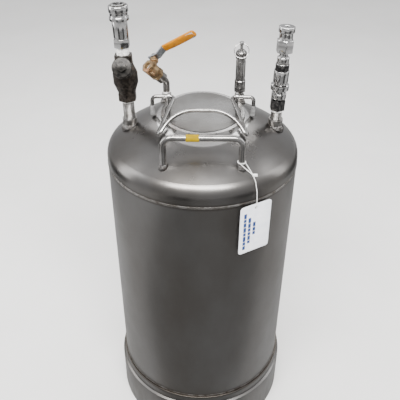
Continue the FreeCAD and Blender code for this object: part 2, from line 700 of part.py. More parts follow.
def make_check_valve():
    """Swing check valve: a round body on two hexagons, with a screwed bonnet."""
    core = turned("check_core", [
        ("0", "check_base + check_hex_height - edge"),
        ("check_neck_radius", "check_base + check_hex_height - edge"),
        ("check_neck_radius + edge", "check_base + check_hex_height"),
        ("check_radius", "check_centre - belly_low"),
        ("check_radius", "check_centre + belly_high"),
        ("check_neck_radius + neck_step", "check_roof + roof_wall"),
        ("check_neck_radius + neck_step", "check_shoulder"), ("0", "check_shoulder")])
    low = hexagon("check_low", "check_hex", "check_base", "check_hex_height")
    high = hexagon("check_high", "check_top_hex", "check_shoulder",
                   "check_top - check_shoulder")
    for piece in (core, low, high):
        on_port(piece, "left")
    boss = along_bonnet(cylinder("check_boss", "bonnet_radius", "bonnet_reach"), "0")
    way = turned("check_way", [
        ("0", "check_base"), ("nipple_od / 2 + thread_gap", "check_base"),
        ("nipple_od / 2 + thread_gap", "check_base + engage + slide_gap"),
        ("check_port_radius", "check_base + engage + slide_gap"),
        ("check_port_radius", "check_seat"), ("check_cavity", "check_seat"),
        ("check_cavity", "check_roof - roof_slope"), ("check_port_radius", "check_roof"),
        ("check_port_radius", "check_top - engage - slide_gap"),
        ("upper_nipple_od / 2 + thread_gap", "check_top - engage - slide_gap"),
        ("upper_nipple_od / 2 + thread_gap", "check_top"), ("0", "check_top")])
    on_port(way, "left")
    bore = along_bonnet(cylinder("check_bonnet_bore", "bonnet_bore", "bonnet_reach"), "0")
    keep(cut("check_valve_body", fuse("check_solid", [core, low, high, boss]),
             fuse("check_hollow", [way, bore])), "check_valve_body")
    cap = turned("bonnet_cap", [
        ("0", "-5"), ("bonnet_bore", "-5"), ("bonnet_bore", "0"), ("bonnet_radius", "0"),
        ("bonnet_radius", "bonnet_thick - edge"), ("bonnet_radius - edge", "bonnet_thick"),
        ("0", "bonnet_thick")])
    hexagon("bonnet", "bonnet_hex", "bonnet_thick", "bonnet_hex_height", body=cap)
    keep(along_bonnet(cap, "bonnet_reach"), "check_valve_bonnet")


def make_check_disc():
    """Flap on a hinge pin, which lies on the seat until flow lifts it."""
    flap = tube("flap", "0", "disc_radius", "check_seat + slide_gap",
                "check_seat + slide_gap + disc_thick")
    arm = doc.addObject("Part::Box", "flap_arm")
    bind(arm, "Length", "arm_width")
    bind(arm, "Width", "disc_eye_y")
    bind(arm, "Height", "disc_eye_z - check_seat - slide_gap - disc_thick / 2")
    eye = cylinder("flap_eye", "disc_eye_radius", "hinge_pin_length / 2")
    hole = cylinder("flap_hole", "hinge_pin_radius + pin_gap", "hinge_pin_length")
    pin = cylinder("check_hinge_pin", "hinge_pin_radius", "hinge_pin_length")
    across = FreeCAD.Rotation(Vector(0, 1, 0), 90)
    x, y, tilt = PORTS["left"]
    port = FreeCAD.Placement(port_point("left", 0),
                             FreeCAD.Rotation(Vector(0, 1, 0), value(tilt)))
    for item, half in ((eye, "hinge_pin_length / 4"), (hole, "hinge_pin_length / 2"),
                       (pin, "hinge_pin_length / 2")):
        centre = Vector(-value(half), value("disc_eye_y"), value("disc_eye_z"))
        item.Placement = port.multiply(FreeCAD.Placement(centre, across))
    corner = Vector(-value("arm_width / 2"), 0, value("check_seat + slide_gap + disc_thick / 2"))
    arm.Placement = port.multiply(FreeCAD.Placement(corner, FreeCAD.Rotation()))
    on_port(flap, "left")
    keep(cut("check_disc", fuse("flap_solid", [flap, arm, eye]), hole), "check_disc")
    keep(pin, "check_hinge_pin")


def ball_ring(label, port, height, radius, count=6):
    """Locking balls in a circle round a port's axis."""
    balls = []
    turn = FreeCAD.Rotation(Vector(0, 1, 0), value(PORTS[port][2]))
    for step in range(count):
        ball = doc.addObject("Part::Sphere", "%s_%d" % (label, step))
        bind(ball, "Radius", "lock_ball_radius")
        angle = 2 * math.pi * step / count
        reach = Vector(math.cos(angle), math.sin(angle), 0) * value(radius)
        centre = port_point(port, value(height)) + turn.multVec(reach)
        ball.Placement.Base = centre
        balls.append(ball)
    return balls


def ball_holes(label, port, height, length, count=6):
    """Radial holes that hold a ring of locking balls."""
    holes = []
    turn = FreeCAD.Rotation(Vector(0, 1, 0), value(PORTS[port][2]))
    for step in range(count):
        hole = cylinder("%s_%d" % (label, step), "lock_ball_radius + pin_gap", length)
        around = FreeCAD.Rotation(Vector(0, 0, 1), 360 * step / count)
        across = FreeCAD.Rotation(Vector(0, 1, 0), 90)
        hole.Placement = FreeCAD.Placement(port_point(port, value(height)),
                                           turn.multiply(around).multiply(across))
        holes.append(hole)
    return fuse(label, holes)


def make_coupler():
    """Quick coupler socket: body, sprung sleeve, locking balls, poppet and seal."""
    bore, neck, outside = "coupler_bore / 2", "coupler_neck_od / 2", "coupler_od / 2"
    seat = "coupler_base + engage + slide_gap"
    shoulder = "coupler_base + coupler_hex_height"
    solid = turned("coupler_core", [
        ("0", shoulder + " - edge"), (outside + " - edge", shoulder + " - edge"),
        (outside + " - coupler_grip_groove", shoulder + " + 2"),
        (outside, shoulder + " + 2.5"), (outside, "coupler_shoulder"),
        (neck, "coupler_shoulder"), (neck, "coupler_top"), ("0", "coupler_top")])
    hexagon("coupler", "coupler_hex", "coupler_base", "coupler_hex_height", body=solid)
    turned("coupler_hollow", [
        ("0", "coupler_base - overrun"), ("upper_nipple_od / 2 + thread_gap", "coupler_base - overrun"),
        ("upper_nipple_od / 2 + thread_gap", seat), ("coupler_way / 2", seat),
        ("coupler_way / 2", "coupler_floor"),
        (bore, "coupler_floor"), (bore, "coupler_mouth_z"),
        ("coupler_mouth / 2", "coupler_mouth_z"), ("coupler_mouth / 2", "coupler_top + overrun"),
        ("0", "coupler_top + overrun")], solid, "Groove")
    on_port(solid, "left")
    holes = ball_holes("coupler_ball_holes", "left", "lock_ball_z", "coupler_od")
    keep(cut("coupler_body", solid, holes), "coupler_body")
    inside = outside + " + slide_gap"
    land = neck + " + slide_gap"
    rim = "sleeve_od / 2"
    sleeve = turned("coupler_sleeve", [
        (inside, "sleeve_bottom"), (rim, "sleeve_bottom"), (rim, "sleeve_bottom + groove_low"),
        (rim + " - groove_depth", "sleeve_bottom + groove_low + edge"),
        (rim + " - groove_depth", "sleeve_bottom + groove_high"),
        (rim, "sleeve_bottom + groove_high + edge"), (rim, "sleeve_top - edge"),
        (rim + " - edge", "sleeve_top"),
        (land, "sleeve_top"), (land, "sleeve_land"), (inside, "sleeve_land")])
    keep(on_port(sleeve, "left"), "coupler_sleeve")
    spring = coil("sleeve_spring", neck + " + 0.9", "spring_wire",
                  "coupler_shoulder + 0.1", "sleeve_land - slide_gap", 4)
    keep(on_port(spring, "left"), "coupler_sleeve_spring")
    poppet = turned("coupler_poppet", [
        ("0", "poppet_z"), ("poppet_radius", "poppet_z"),
        ("poppet_radius", "poppet_z + poppet_thick - edge"),
        ("poppet_radius - edge", "poppet_z + poppet_thick"),
        ("poppet_stem", "poppet_z + poppet_thick"), ("poppet_stem", "poppet_top"),
        ("0", "poppet_top")])
    keep(on_port(poppet, "left"), "coupler_poppet")
    spring = coil("poppet_spring", "poppet_radius - 1.6", "spring_wire",
                  "coupler_floor + 0.1", "poppet_z - slide_gap", 4)
    keep(on_port(spring, "left"), "coupler_poppet_spring")
    seal = "poppet_z + poppet_thick + slide_gap"
    ring = tube("coupler_seal", "poppet_radius - 1.4", bore, seal, seal + " + seal_ring_height")
    keep(on_port(ring, "left"), "coupler_seal")


# ---- right stack: socket and plug ----------------------------------------------------

def make_socket():
    """Outlet coupler: adapter, socket body, sprung grip sleeve and locking balls."""
    adapter = turned("adapter_core", [
        ("0", "adapter_shoulder - edge"), ("adapter_hex / 2 - 0.6", "adapter_shoulder - edge"),
        ("adapter_hex / 2 - 0.6", "adapter_shoulder"),
        ("adapter_neck_od / 2", "adapter_shoulder + edge"), ("adapter_neck_od / 2", "socket_base"),
        ("0", "socket_base")])
    hexagon("adapter", "adapter_hex", "adapter_base", "adapter_shoulder - adapter_base",
            body=adapter)
    thread = "right_nipple_od / 2 + thread_gap"
    seat = "adapter_base + engage + slide_gap"
    turned("adapter_hollow", [
        ("0", "adapter_base - overrun"), (thread, "adapter_base - overrun"), (thread, seat),
        ("socket_way / 2", seat), ("socket_way / 2", "socket_base + overrun"),
        ("0", "socket_base + overrun")], adapter, "Groove")
    keep(on_port(adapter, "right"), "right_adapter")
    groove, neck = "socket_groove_od / 2", "socket_neck_od / 2"
    flange, bore = "socket_flange_od / 2", "socket_bore / 2"
    ring = "socket_ring_od / 2"
    socket = turned("socket_core", [
        ("socket_way / 2", "socket_base"), (ring, "socket_base"), (ring, "socket_ring_top"),
        (groove, "socket_ring_top"), (groove, "socket_flange_z"), (flange, "socket_flange_z"),
        (flange, "socket_flange_top"), (neck, "socket_flange_top"), (neck, "socket_top"),
        (bore, "socket_top"), (bore, "socket_floor"), ("socket_way / 2", "socket_floor")])
    on_port(socket, "right")
    holes = ball_holes("socket_ball_holes", "right", "socket_ball_z", "socket_flange_od")
    keep(cut("socket_body", socket, holes), "socket_body")
    pocket = neck + " + 1.8"
    land = neck + " + 0.6"
    grip, nose = "grip_od / 2", "grip_nose_od / 2"
    sleeve = turned("socket_sleeve", [
        (pocket, "grip_bottom"), (grip, "grip_bottom"), (grip, "grip_step"),
        (nose, "grip_step"), (nose, "grip_top"), (land, "grip_top"), (land, "grip_land"),
        (pocket, "grip_land")])
    keep(on_port(sleeve, "right"), "socket_sleeve")
    band = tube("socket_sleeve_band", nose, nose + " + 0.5", "grip_step", "grip_top - edge")
    keep(on_port(band, "right"), "socket_sleeve_band")
    spring = coil("socket_spring", neck + " + 0.85", "spring_wire",
                  "socket_flange_top + 0.1", "grip_land - slide_gap", 6)
    keep(on_port(spring, "right"), "socket_sleeve_spring")


def make_coupler_trim():
    """Locking balls of both couplers, and the stop rings that keep their sleeves on."""
    group("lock_balls",
          ball_ring("coupler_ball", "left", "lock_ball_z",
                    "(coupler_mouth + coupler_neck_od) / 4")
          + ball_ring("socket_ball", "right", "socket_ball_z",
                      "plug_od / 2 + lock_ball_radius + pin_gap"))
    rings = []
    for name, port, neck, top in (
            ("coupler", "left", "coupler_neck_od / 2", "sleeve_top + slide_gap"),
            ("socket", "right", "socket_neck_od / 2", "grip_top + slide_gap")):
        ring = tube(name + "_stop", neck, neck + " + stop_ring_width", top,
                    top + " + stop_ring_height")
        rings.append(on_port(ring, port))
    group("sleeve_stop_rings", rings)


def make_plug():
    """Hose plug held in the socket by the balls, with a hexagon and a flared end."""
    stem, neck = "plug_od / 2", "plug_neck_od / 2"
    barrel, flare, cap = "plug_barrel_od / 2", "plug_flare_od / 2", "plug_cap_od / 2"
    cap_base = "socket_top + slide_gap"
    plug = turned("plug_core", [
        ("0", "plug_tip"), (stem + " - edge", "plug_tip"), (stem, "plug_tip + 2"),
        (stem, "socket_ball_z - 2"), (stem + " - edge", "socket_ball_z - edge"),
        (stem + " - edge", "socket_ball_z + edge"), (stem, "socket_ball_z + 2"), (stem, cap_base),
        (cap, cap_base), (cap, "plug_cap_top"), (neck, "plug_cap_top"),
        (neck, "plug_hex_z + edge"), (barrel, "plug_hex_z + edge"), (barrel, "plug_flare_z"),
        (flare, "plug_flare_z + 1.5"), (flare, "plug_top"), ("0", "plug_top")])
    hexagon("plug", "plug_hex", "plug_hex_z", "plug_hex_top - plug_hex_z", body=plug)
    turned("plug_hollow", [
        ("0", "plug_tip - overrun"), ("plug_bore / 2", "plug_tip - overrun"),
        ("plug_bore / 2", "plug_top + overrun"), ("0", "plug_top + overrun")], plug, "Groove")
    keep(on_port(plug, "right"), "hose_plug")


# ---- rear right: relief valve --------------------------------------------------------

def make_relief_valve():
    """Spring relief valve with a lifting stem and a pull ring."""
    outside, bore = "relief_od / 2", "relief_bore / 2"
    flange, groove = "relief_flange_od / 2", "relief_groove_od / 2"
    thread = "relief_nipple_od / 2 + thread_gap"
    body = turned("relief_core", [
        ("0", "relief_hex_top - edge"), ("relief_hex / 2", "relief_hex_top - edge"),
        (flange, "relief_hex_top"), (flange, "relief_flange_top - edge"),
        (outside, "relief_flange_top"), (outside, "relief_top"), (groove, "relief_top"),
        (groove, "relief_joint"), ("0", "relief_joint")])
    hexagon("relief", "relief_hex", "relief_base", "relief_hex_top - relief_base", body=body)
    turned("relief_hollow", [
        ("0", "relief_base - overrun"), (thread, "relief_base - overrun"), (thread, "relief_base + 5.2"),
        ("relief_port / 2", "relief_base + 5.2"), ("relief_port / 2", "relief_seat"),
        (bore, "relief_seat"), (bore, "relief_joint + overrun"), ("0", "relief_joint + overrun")],
        body, "Groove")
    keep(on_port(body, "relief"), "relief_body")
    cap, hole = "relief_cap_od / 2", "relief_stem_od / 2 + slide_gap"
    roof = "relief_cap_shoulder - 2"
    bonnet = turned("relief_cap", [
        (bore, "relief_joint"), (cap, "relief_joint"), (cap, "relief_cap_shoulder"),
        ("relief_cap_nose / 2", "relief_cap_top"), (hole, "relief_cap_top"), (hole, roof),
        (bore, roof)])
    keep(on_port(bonnet, "relief"), "relief_cap")
    floor = "relief_seat + slide_gap + relief_disc_thick"
    stem = turned("relief_stem", [
        ("0", floor), ("relief_stem_od / 2", floor), ("relief_stem_od / 2", "relief_knob_z"),
        ("relief_knob_od / 2", "relief_knob_z + edge"),
        ("relief_knob_od / 2", "relief_stem_top - edge"),
        ("relief_knob_od / 2 - 1", "relief_stem_top"), ("0", "relief_stem_top")])
    on_port(stem, "relief")
    eye = cylinder("relief_eye", "relief_eye_radius", "relief_knob_od + 4")
    eye.Placement = FreeCAD.Placement(
        port_point("relief", value("relief_eye_z"))
        - Vector(value("relief_knob_od / 2 + 2"), 0, 0), FreeCAD.Rotation(Vector(0, 1, 0), 90))
    keep(cut("relief_stem", stem, eye), "relief_stem")
    disc = tube("relief_disc", "0", bore + " - 0.4", "relief_seat + slide_gap", floor)
    keep(on_port(disc, "relief"), "relief_disc")
    spring = coil("relief_spring", bore + " - 1.4", "relief_wire", floor + " + 0.1",
                  roof + " - 0.1", 7)
    keep(on_port(spring, "relief"), "relief_spring")
    ring = doc.addObject("Part::Torus", "pull_ring")
    bind(ring, "Radius1", "ring_radius")
    bind(ring, "Radius2", "ring_wire / 2")
    tilt = math.radians(value("ring_tilt"))
    drop = Vector(0, -math.sin(tilt), -math.cos(tilt)) * value("ring_radius")
    ring.Placement = FreeCAD.Placement(port_point("relief", value("relief_eye_z")) + drop,
                                       FreeCAD.Rotation(Vector(1, 0, 0),
                                                        90 - value("ring_tilt")))
    keep(ring, "pull_ring")


# ---- rear left: elbow and ball valve -------------------------------------------------

def flow_way():
    """Unit vectors of the ball valve: flow, stem, and the closed lever."""
    lean = math.radians(value("elbow_lean"))
    turn = math.radians(value("stem_turn"))
    bearing = math.radians(value("elbow_bearing"))
    back = Vector(math.cos(bearing), math.sin(bearing), 0)
    across = Vector(-math.sin(bearing), math.cos(bearing), 0)
    up = Vector(0, 0, 1)
    flow = up * math.cos(lean) - back * math.sin(lean)
    side = up * math.sin(lean) + back * math.cos(lean)
    stem = side * math.cos(turn) + across * math.sin(turn)
    return flow, stem, stem.cross(flow)


def elbow_corner():
    return port_point("gas", value("elbow_rise"))


def on_flow(item, distance):
    """Stand an object on the flow axis, measured from the elbow's bell face."""
    flow, stem, lever = flow_way()
    start = elbow_corner() + flow * value("elbow_leg + elbow_bell_length")
    item.Placement = FreeCAD.Placement(start + flow * value(distance),
                                       FreeCAD.Rotation(lever, stem, flow, "ZXY"))
    return item


def on_stem(item, distance="0"):
    """Stand an object on the stem axis, measured from the ball's centre."""
    flow, stem, lever = flow_way()
    start = elbow_corner() + flow * value("elbow_leg + elbow_bell_length + valve_centre")
    item.Placement = FreeCAD.Placement(start + stem * value(distance),
                                       FreeCAD.Rotation(lever, -flow, stem, "ZXY"))
    return item


def make_elbow():
    """Street elbow: male thread below, a bell for the valve above."""
    flow = flow_way()[0]
    route = [port_point("gas", value("nipple_start")), elbow_corner(),
             elbow_corner() + flow * value("elbow_leg + overrun")]
    outside, bend = value("elbow_od / 2"), value("elbow_bend")
    shell = rod("elbow_outside", route, outside, [bend])
    route[2] = elbow_corner() + flow * value("elbow_leg + 2")
    hollow = rod("elbow_inside", route, outside - value("elbow_wall"), [bend])
    bell = on_flow(cylinder("elbow_bell", "elbow_bell_od / 2", "elbow_bell_length"),
                   "-elbow_bell_length")
    thread = on_flow(cylinder("elbow_thread", "elbow_od / 2 + thread_gap",
                              "engage + slide_gap"), "-engage - slide_gap")
    keep(cut("street_elbow", fuse("elbow_solid", [shell, bell]),
             fuse("elbow_hollow", [hollow, thread])), "street_elbow")


def make_ball_valve():
    """Brass body with a screwed end cap, seats, ball, stem, packing nut and lever."""
    bore = "valve_bore / 2"
    chamber = "ball_radius + ball_gap"
    seat_reach = "(valve_centre - ball_radius - seat_width + seat_sink)"
    core = turned("valve_core", [
        ("0", "-engage"), ("elbow_od / 2", "-engage"), ("elbow_od / 2", "0"),
        ("valve_hex / 2", "0"), ("valve_hex / 2", "valve_hex_length"),
        ("valve_body_od / 2", "valve_hex_length + 1.5"),
        ("valve_body_od / 2", "valve_body_length"), ("0", "valve_body_length")])
    on_flow(core, "0")
    hexes = on_flow(hexagon("valve_hex", "valve_hex", "0", "valve_hex_length"), "0")
    gland = on_stem(cylinder("valve_gland", "gland_od / 2", "gland_top"))
    hollow = turned("valve_hollow", [
        ("0", "-engage - overrun"), (bore, "-engage - overrun"), (bore, seat_reach),
        (chamber, seat_reach), (chamber, "valve_body_length + overrun"),
        ("0", "valve_body_length + overrun")])
    on_flow(hollow, "0")
    stem_hole = on_stem(cylinder("valve_stem_hole", "stem_od / 2 + pin_gap", "gland_top + overrun"))
    keep(cut("ball_valve_body", fuse("valve_solid", [core, hexes, gland]),
             fuse("valve_void", [hollow, stem_hole])), "ball_valve_body")
    cap = turned("valve_cap", [
        ("0", "valve_body_length"), ("valve_hex / 2", "valve_body_length"),
        ("valve_hex / 2", "valve_length"), ("0", "valve_length")])
    hexagon("valve_end", "valve_hex", "valve_body_length", "valve_length - valve_body_length",
            body=cap)
    turned("cap_hollow", [
        ("0", "valve_body_length - overrun"), ("elbow_od / 2", "valve_body_length - overrun"),
        ("elbow_od / 2", "valve_length + overrun"), ("0", "valve_length + overrun")], cap, "Groove")
    keep(on_flow(cap, "0"), "ball_valve_end_cap")
    seats = []
    for name, low in (("near", seat_reach), ("far", "valve_centre + ball_radius - seat_sink")):
        seats.append(on_flow(tube("seat_" + name, "seat_bore / 2", chamber, low,
                                  low + " + seat_width"), "0"))
    group("ball_valve_seats", seats)
    make_ball_and_lever()


def make_ball_and_lever():
    ball = doc.addObject("Part::Sphere", "valve_ball_solid")
    bind(ball, "Radius", "ball_radius")
    on_stem(ball)
    way = cylinder("valve_ball_way", "valve_bore / 2", "2 * ball_radius + 2")
    flow, stem, lever = flow_way()
    on_stem(way)
    way.Placement = FreeCAD.Placement(ball.Placement.Base - lever * value("ball_radius + overrun"),
                                      FreeCAD.Rotation(Vector(0, 0, 1), lever))
    keep(cut("valve_ball", ball, way), "valve_ball")
    shaft = tube("valve_stem", "0", "stem_od / 2", "ball_radius", "stem_top")
    keep(on_stem(shaft), "valve_stem")
    packing = hexagon("packing_nut", "packing_hex", "gland_top",
                      "packing_top - gland_top", "stem_od / 2 + pin_gap")
    keep(on_stem(packing), "packing_nut")
    nut = hexagon("lever_nut", "stem_nut_hex", "lever_z + lever_thick", "stem_nut_height",
                  "stem_od / 2")
    keep(on_stem(nut), "lever_nut")
    low, high = "lever_z", "lever_z + lever_rise"
    thick = "lever_thick"
    arm = new_body("valve_lever_body")
    sketch = new_sketch(arm, "lever_side", "XZ_Plane")
    draw(sketch, [
        ("-lever_tail", low), ("lever_bend_start", low), ("lever_bend_end", high),
        ("lever_length", high), ("lever_length", "%s + %s" % (high, thick)),
        ("lever_bend_end - edge", "%s + %s" % (high, thick)),
        ("lever_bend_start - edge", "%s + %s" % (low, thick)), ("-lever_tail", low + " + " + thick)])
    pad = arm.newObject("PartDesign::Pad", "lever_pad")
    pad.Profile = sketch
    pad.Midplane = True
    bind(pad, "Length", "lever_width")
    hole = new_sketch(arm, "lever_hole", "XY_Plane")
    add_circle(hole, "stem_od / 2")
    pocket = arm.newObject("PartDesign::Pocket", "lever_pocket")
    pocket.Profile = hole
    pocket.Reversed = True
    bind(pocket, "Length", "lever_z + 2 * lever_thick")
    keep(on_stem(arm), "valve_lever")
    sleeve = new_body("lever_grip_body")
    outline = new_sketch(sleeve, "grip_outline", "YZ_Plane")
    inner_low, inner_high = high, "%s + %s" % (high, thick)
    half = "lever_width / 2"
    for grow in ("0", "grip_thick"):
        draw_ring(outline, "%s + %s" % (half, grow), "%s - %s" % (inner_low, grow),
                  "%s + %s" % (inner_high, grow))
    bind(outline, "AttachmentOffset.Base.z", "lever_length - grip_length + grip_thick")
    pad = sleeve.newObject("PartDesign::Pad", "grip_pad")
    pad.Profile = outline
    bind(pad, "Length", "grip_length - grip_thick")
    keep(on_stem(sleeve), "lever_grip")


def draw_ring(sketch, half, low, high):
    """A rectangle centred on the sketch's vertical axis."""
    draw(sketch, [("-(%s)" % half, low), (half, low), (half, high), ("-(%s)" % half, high)])


# ---- inside the vessel ---------------------------------------------------------------

def make_dip_tube():
    """Outlet tube that reaches nearly to the bottom, and a short inlet tube."""
    for label, port, length in (
            ("dip_tube", "right", "dip_tube_length"), ("gas_inlet_tube", "left",
                                                       "inlet_tube_length")):
        outside = "dip_tube_od / 2"
        body = turned(label, [
            (outside + " - dip_tube_wall", "-" + length), (outside, "-" + length),
            (outside, "-tube_collar"), ("%s / 2" % port_bore(port), "-tube_collar"),
            ("%s / 2" % port_bore(port), "tube_collar"),
            (outside + " - dip_tube_wall", "tube_collar")])
        keep(on_port(body, port), label)


# ---- tag -----------------------------------------------------------------------------

def on_wall(item, radius, height):
    """Stand an object at the tag's bearing: its X runs round the wall and its Y points in."""
    angle = math.radians(value("tag_angle"))
    position = Vector(math.sin(angle), -math.cos(angle), 0) * value(radius)
    position.z = value(height)
    item.Placement = FreeCAD.Placement(
        position, FreeCAD.Rotation(Vector(0, 0, 1), value("tag_angle")))
    return item


def make_tag():
    """Card tag with rounded corners that hangs from a nylon tie."""
    card = new_body("tag_body")
    sketch = new_sketch(card, "tag_outline", "XZ_Plane")
    half, corner, tall = "tag_width / 2", "tag_corner", "-tag_height"
    draw(sketch, [
        ("-%s + %s" % (half, corner), tall), ("%s - %s" % (half, corner), tall, corner),
        (half, "%s + %s" % (tall, corner)), (half, "-" + corner, corner),
        ("%s - %s" % (half, corner), "0"), ("-%s + %s" % (half, corner), "0", corner),
        ("-" + half, "-" + corner), ("-" + half, "%s + %s" % (tall, corner), corner)])
    add_circle(sketch, "tag_hole", "0", "-tag_hole_drop")
    pad = card.newObject("PartDesign::Pad", "tag_pad")
    pad.Profile = sketch
    bind(pad, "Length", "tag_thick")
    keep(on_wall(card, "tag_radius", "tag_top"), "tag")


def wall_point(radius, height):
    """A point at the tag's bearing."""
    angle = math.radians(value("tag_angle"))
    return Vector(math.sin(angle) * radius, -math.cos(angle) * radius, height)


def make_tie():
    """Nylon tie: a loop round the handle's right leg, a block, and a strand to the tag."""
    wire = value("tie_wire / 2")
    x, y, foot = value("handle_half_width"), value("handle_y"), value("handle_foot_z")
    leg = Vector(x, y, foot + value("tie_rise"))
    reach = "handle_rod / 2 + tie_wire / 2 + tie_gap"
    loop = doc.addObject("Part::Torus", "tie_loop")
    bind(loop, "Radius1", reach)
    bind(loop, "Radius2", "tie_wire / 2")
    loop.Placement.Base = leg
    knot = wall_point(value("tank_radius - block_inset"), foot - value("block_drop"))
    pieces = [loop]
    ahead = Vector(knot.x - leg.x, knot.y - leg.y, 0).normalize()
    across = Vector(-ahead.y, ahead.x, 0)
    for side in (-1, 1):
        start = leg + across * side * value(reach)
        pieces.append(rod("tie_strand", [start, knot], wire))
    block = doc.addObject("Part::Box", "tie_block")
    bind(block, "Length", "tie_block")
    bind(block, "Width", "tie_block / 2")
    bind(block, "Height", "tie_block / 3")
    sink = value("block_sink")
    block.Placement.Base = knot - Vector(sink, sink * 1.5, sink)
    pieces.append(block)
    hole = value("tag_top - tag_hole_drop")
    outside = value("tag_radius + tag_thick + tie_wire / 2 + tie_clear")
    route = [knot, wall_point(value("tank_radius - bow_inset"), foot - value("bow_drop")),
             wall_point(value("tank_radius + fall_gap"), foot - value("fall_drop")),
             wall_point(outside, value("tag_top - fall_end")), wall_point(outside, hole)]
    pieces.append(rod("tie_drop", route, wire, [value("tie_bend")] * 3))
    pieces.append(rod("tie_pass", [wall_point(outside, hole),
                                   wall_point(outside - value("tie_pass"), hole)], wire))
    knob = doc.addObject("Part::Sphere", "tie_end")
    bind(knob, "Radius", "tie_wire / 2")
    knob.Placement.Base = wall_point(outside, hole)
    pieces.append(knob)
    keep(fuse("tag_tie", pieces), "tag_tie")


# ---- build, check and write ----------------------------------------------------------

for maker in (make_shell, make_top_head, make_bottom, make_ports, make_handle, make_lid,
              make_bail, make_left_pipes, make_check_valve, make_check_disc, make_coupler,
              make_socket, make_coupler_trim, make_plug, make_relief_valve, make_elbow,
              make_ball_valve, make_dip_tube, make_tag, make_tie):
    maker()
doc.recompute()
for item in doc.Objects:
    if "Invalid" in item.State or "Error" in item.State:
        raise RuntimeError("%s did not build" % item.Label)
    if item.TypeId in ("PartDesign::Pocket", "PartDesign::Groove"):
        if item.BaseFeature.Shape.Volume - item.Shape.Volume < LEAST_CUT:
            raise RuntimeError("%s removed nothing" % item.Label)
for item in PARTS:
    if item.Shape.isNull() or not item.Shape.isValid():
        raise RuntimeError("%s has no valid shape" % item.Label)
os.makedirs("parts", exist_ok=True)
for item in PARTS:
    item.Shape.exportStep("parts/%s.step" % item.Label)
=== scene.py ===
import json
import math
import random

import bmesh
import bpy
from mathutils import Matrix, Vector, noise


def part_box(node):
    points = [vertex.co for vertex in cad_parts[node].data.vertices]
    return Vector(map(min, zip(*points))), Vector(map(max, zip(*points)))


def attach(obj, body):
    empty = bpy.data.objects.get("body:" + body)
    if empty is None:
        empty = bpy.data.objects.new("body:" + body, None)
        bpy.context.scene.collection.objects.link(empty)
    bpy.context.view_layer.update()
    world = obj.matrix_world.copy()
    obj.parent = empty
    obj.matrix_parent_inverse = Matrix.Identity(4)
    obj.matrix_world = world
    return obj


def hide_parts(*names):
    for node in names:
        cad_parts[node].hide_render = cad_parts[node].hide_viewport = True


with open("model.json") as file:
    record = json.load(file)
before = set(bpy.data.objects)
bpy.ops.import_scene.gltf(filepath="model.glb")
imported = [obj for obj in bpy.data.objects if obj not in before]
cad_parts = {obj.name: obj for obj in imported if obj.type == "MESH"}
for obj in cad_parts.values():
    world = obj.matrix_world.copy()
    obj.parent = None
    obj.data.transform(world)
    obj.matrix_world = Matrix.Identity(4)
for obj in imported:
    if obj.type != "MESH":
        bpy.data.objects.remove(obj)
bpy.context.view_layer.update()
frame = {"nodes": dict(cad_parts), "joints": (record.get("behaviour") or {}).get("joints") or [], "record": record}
NODES = frame["nodes"]

# ---- places, all worked out from the frame (metres) ------------------------------------

SEAM_Z = 0.524
LOWER_SEAM_Z = 0.097
COLLAR_HALVES = (0.0725, 0.0875)
TANK_RADIUS = 0.1525


def middle(node):
    low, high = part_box(node)
    return (low + high) / 2


# ---- camera, floor and light -----------------------------------------------------------

def make_camera():
    """The viewing angle: from the front, about a metre up, looking down 35 degrees."""
    pitch, yaw, roll = math.radians(35.1), math.radians(-0.257), math.radians(0.359)
    data = bpy.data.cameras.new("camera")
    data.sensor_width = 36
    data.lens = 49.86
    camera = bpy.data.objects.new("camera", data)
    bpy.context.scene.collection.objects.link(camera)
    turn = (Matrix.Rotation(-yaw, 4, "Z") @ Matrix.Rotation(math.pi / 2 - pitch, 4, "X")
            @ Matrix.Rotation(roll, 4, "Z"))
    camera.matrix_world = Matrix.Translation((0, -0.7824, 0.9817)) @ turn
    bpy.context.scene.camera = camera


def area_light(name, place, aim, size, power, colour=(1, 1, 1)):
    data = bpy.data.lights.new(name, "AREA")
    data.shape = "RECTANGLE"
    data.size, data.size_y = size
    data.energy = power
    data.color = colour
    light = bpy.data.objects.new(name, data)
    bpy.context.scene.collection.objects.link(light)
    direction = Vector(aim) - Vector(place)
    light.matrix_world = (Matrix.Translation(place)
                          @ direction.to_track_quat("-Z", "Y").to_matrix().to_4x4())
    return light


def make_world():
    world = bpy.data.worlds.new("studio")
    bpy.context.scene.world = world
    world.use_nodes = True
    tree = world.node_tree
    background = tree.nodes["Background"]
    background.inputs["Strength"].default_value = 1.05
    where = tree.nodes.new("ShaderNodeTexCoord")
    split = tree.nodes.new("ShaderNodeSeparateXYZ")
    ramp = tree.nodes.new("ShaderNodeValToRGB")
    ramp.color_ramp.elements[0].position = 0.30
    ramp.color_ramp.elements[0].color = (0.30, 0.30, 0.30, 1)
    ramp.color_ramp.elements[1].position = 0.85
    ramp.color_ramp.elements[1].color = (0.95, 0.95, 0.96, 1)
    half = tree.nodes.new("ShaderNodeMath")
    half.operation = "MULTIPLY_ADD"
    half.inputs[1].default_value = 0.5
    half.inputs[2].default_value = 0.5
    tree.links.new(where.outputs["Generated"], split.inputs[0])
    tree.links.new(split.outputs["Z"], half.inputs[0])
    tree.links.new(half.outputs[0], ramp.inputs["Fac"])
    tree.links.new(ramp.outputs["Color"], background.inputs["Color"])


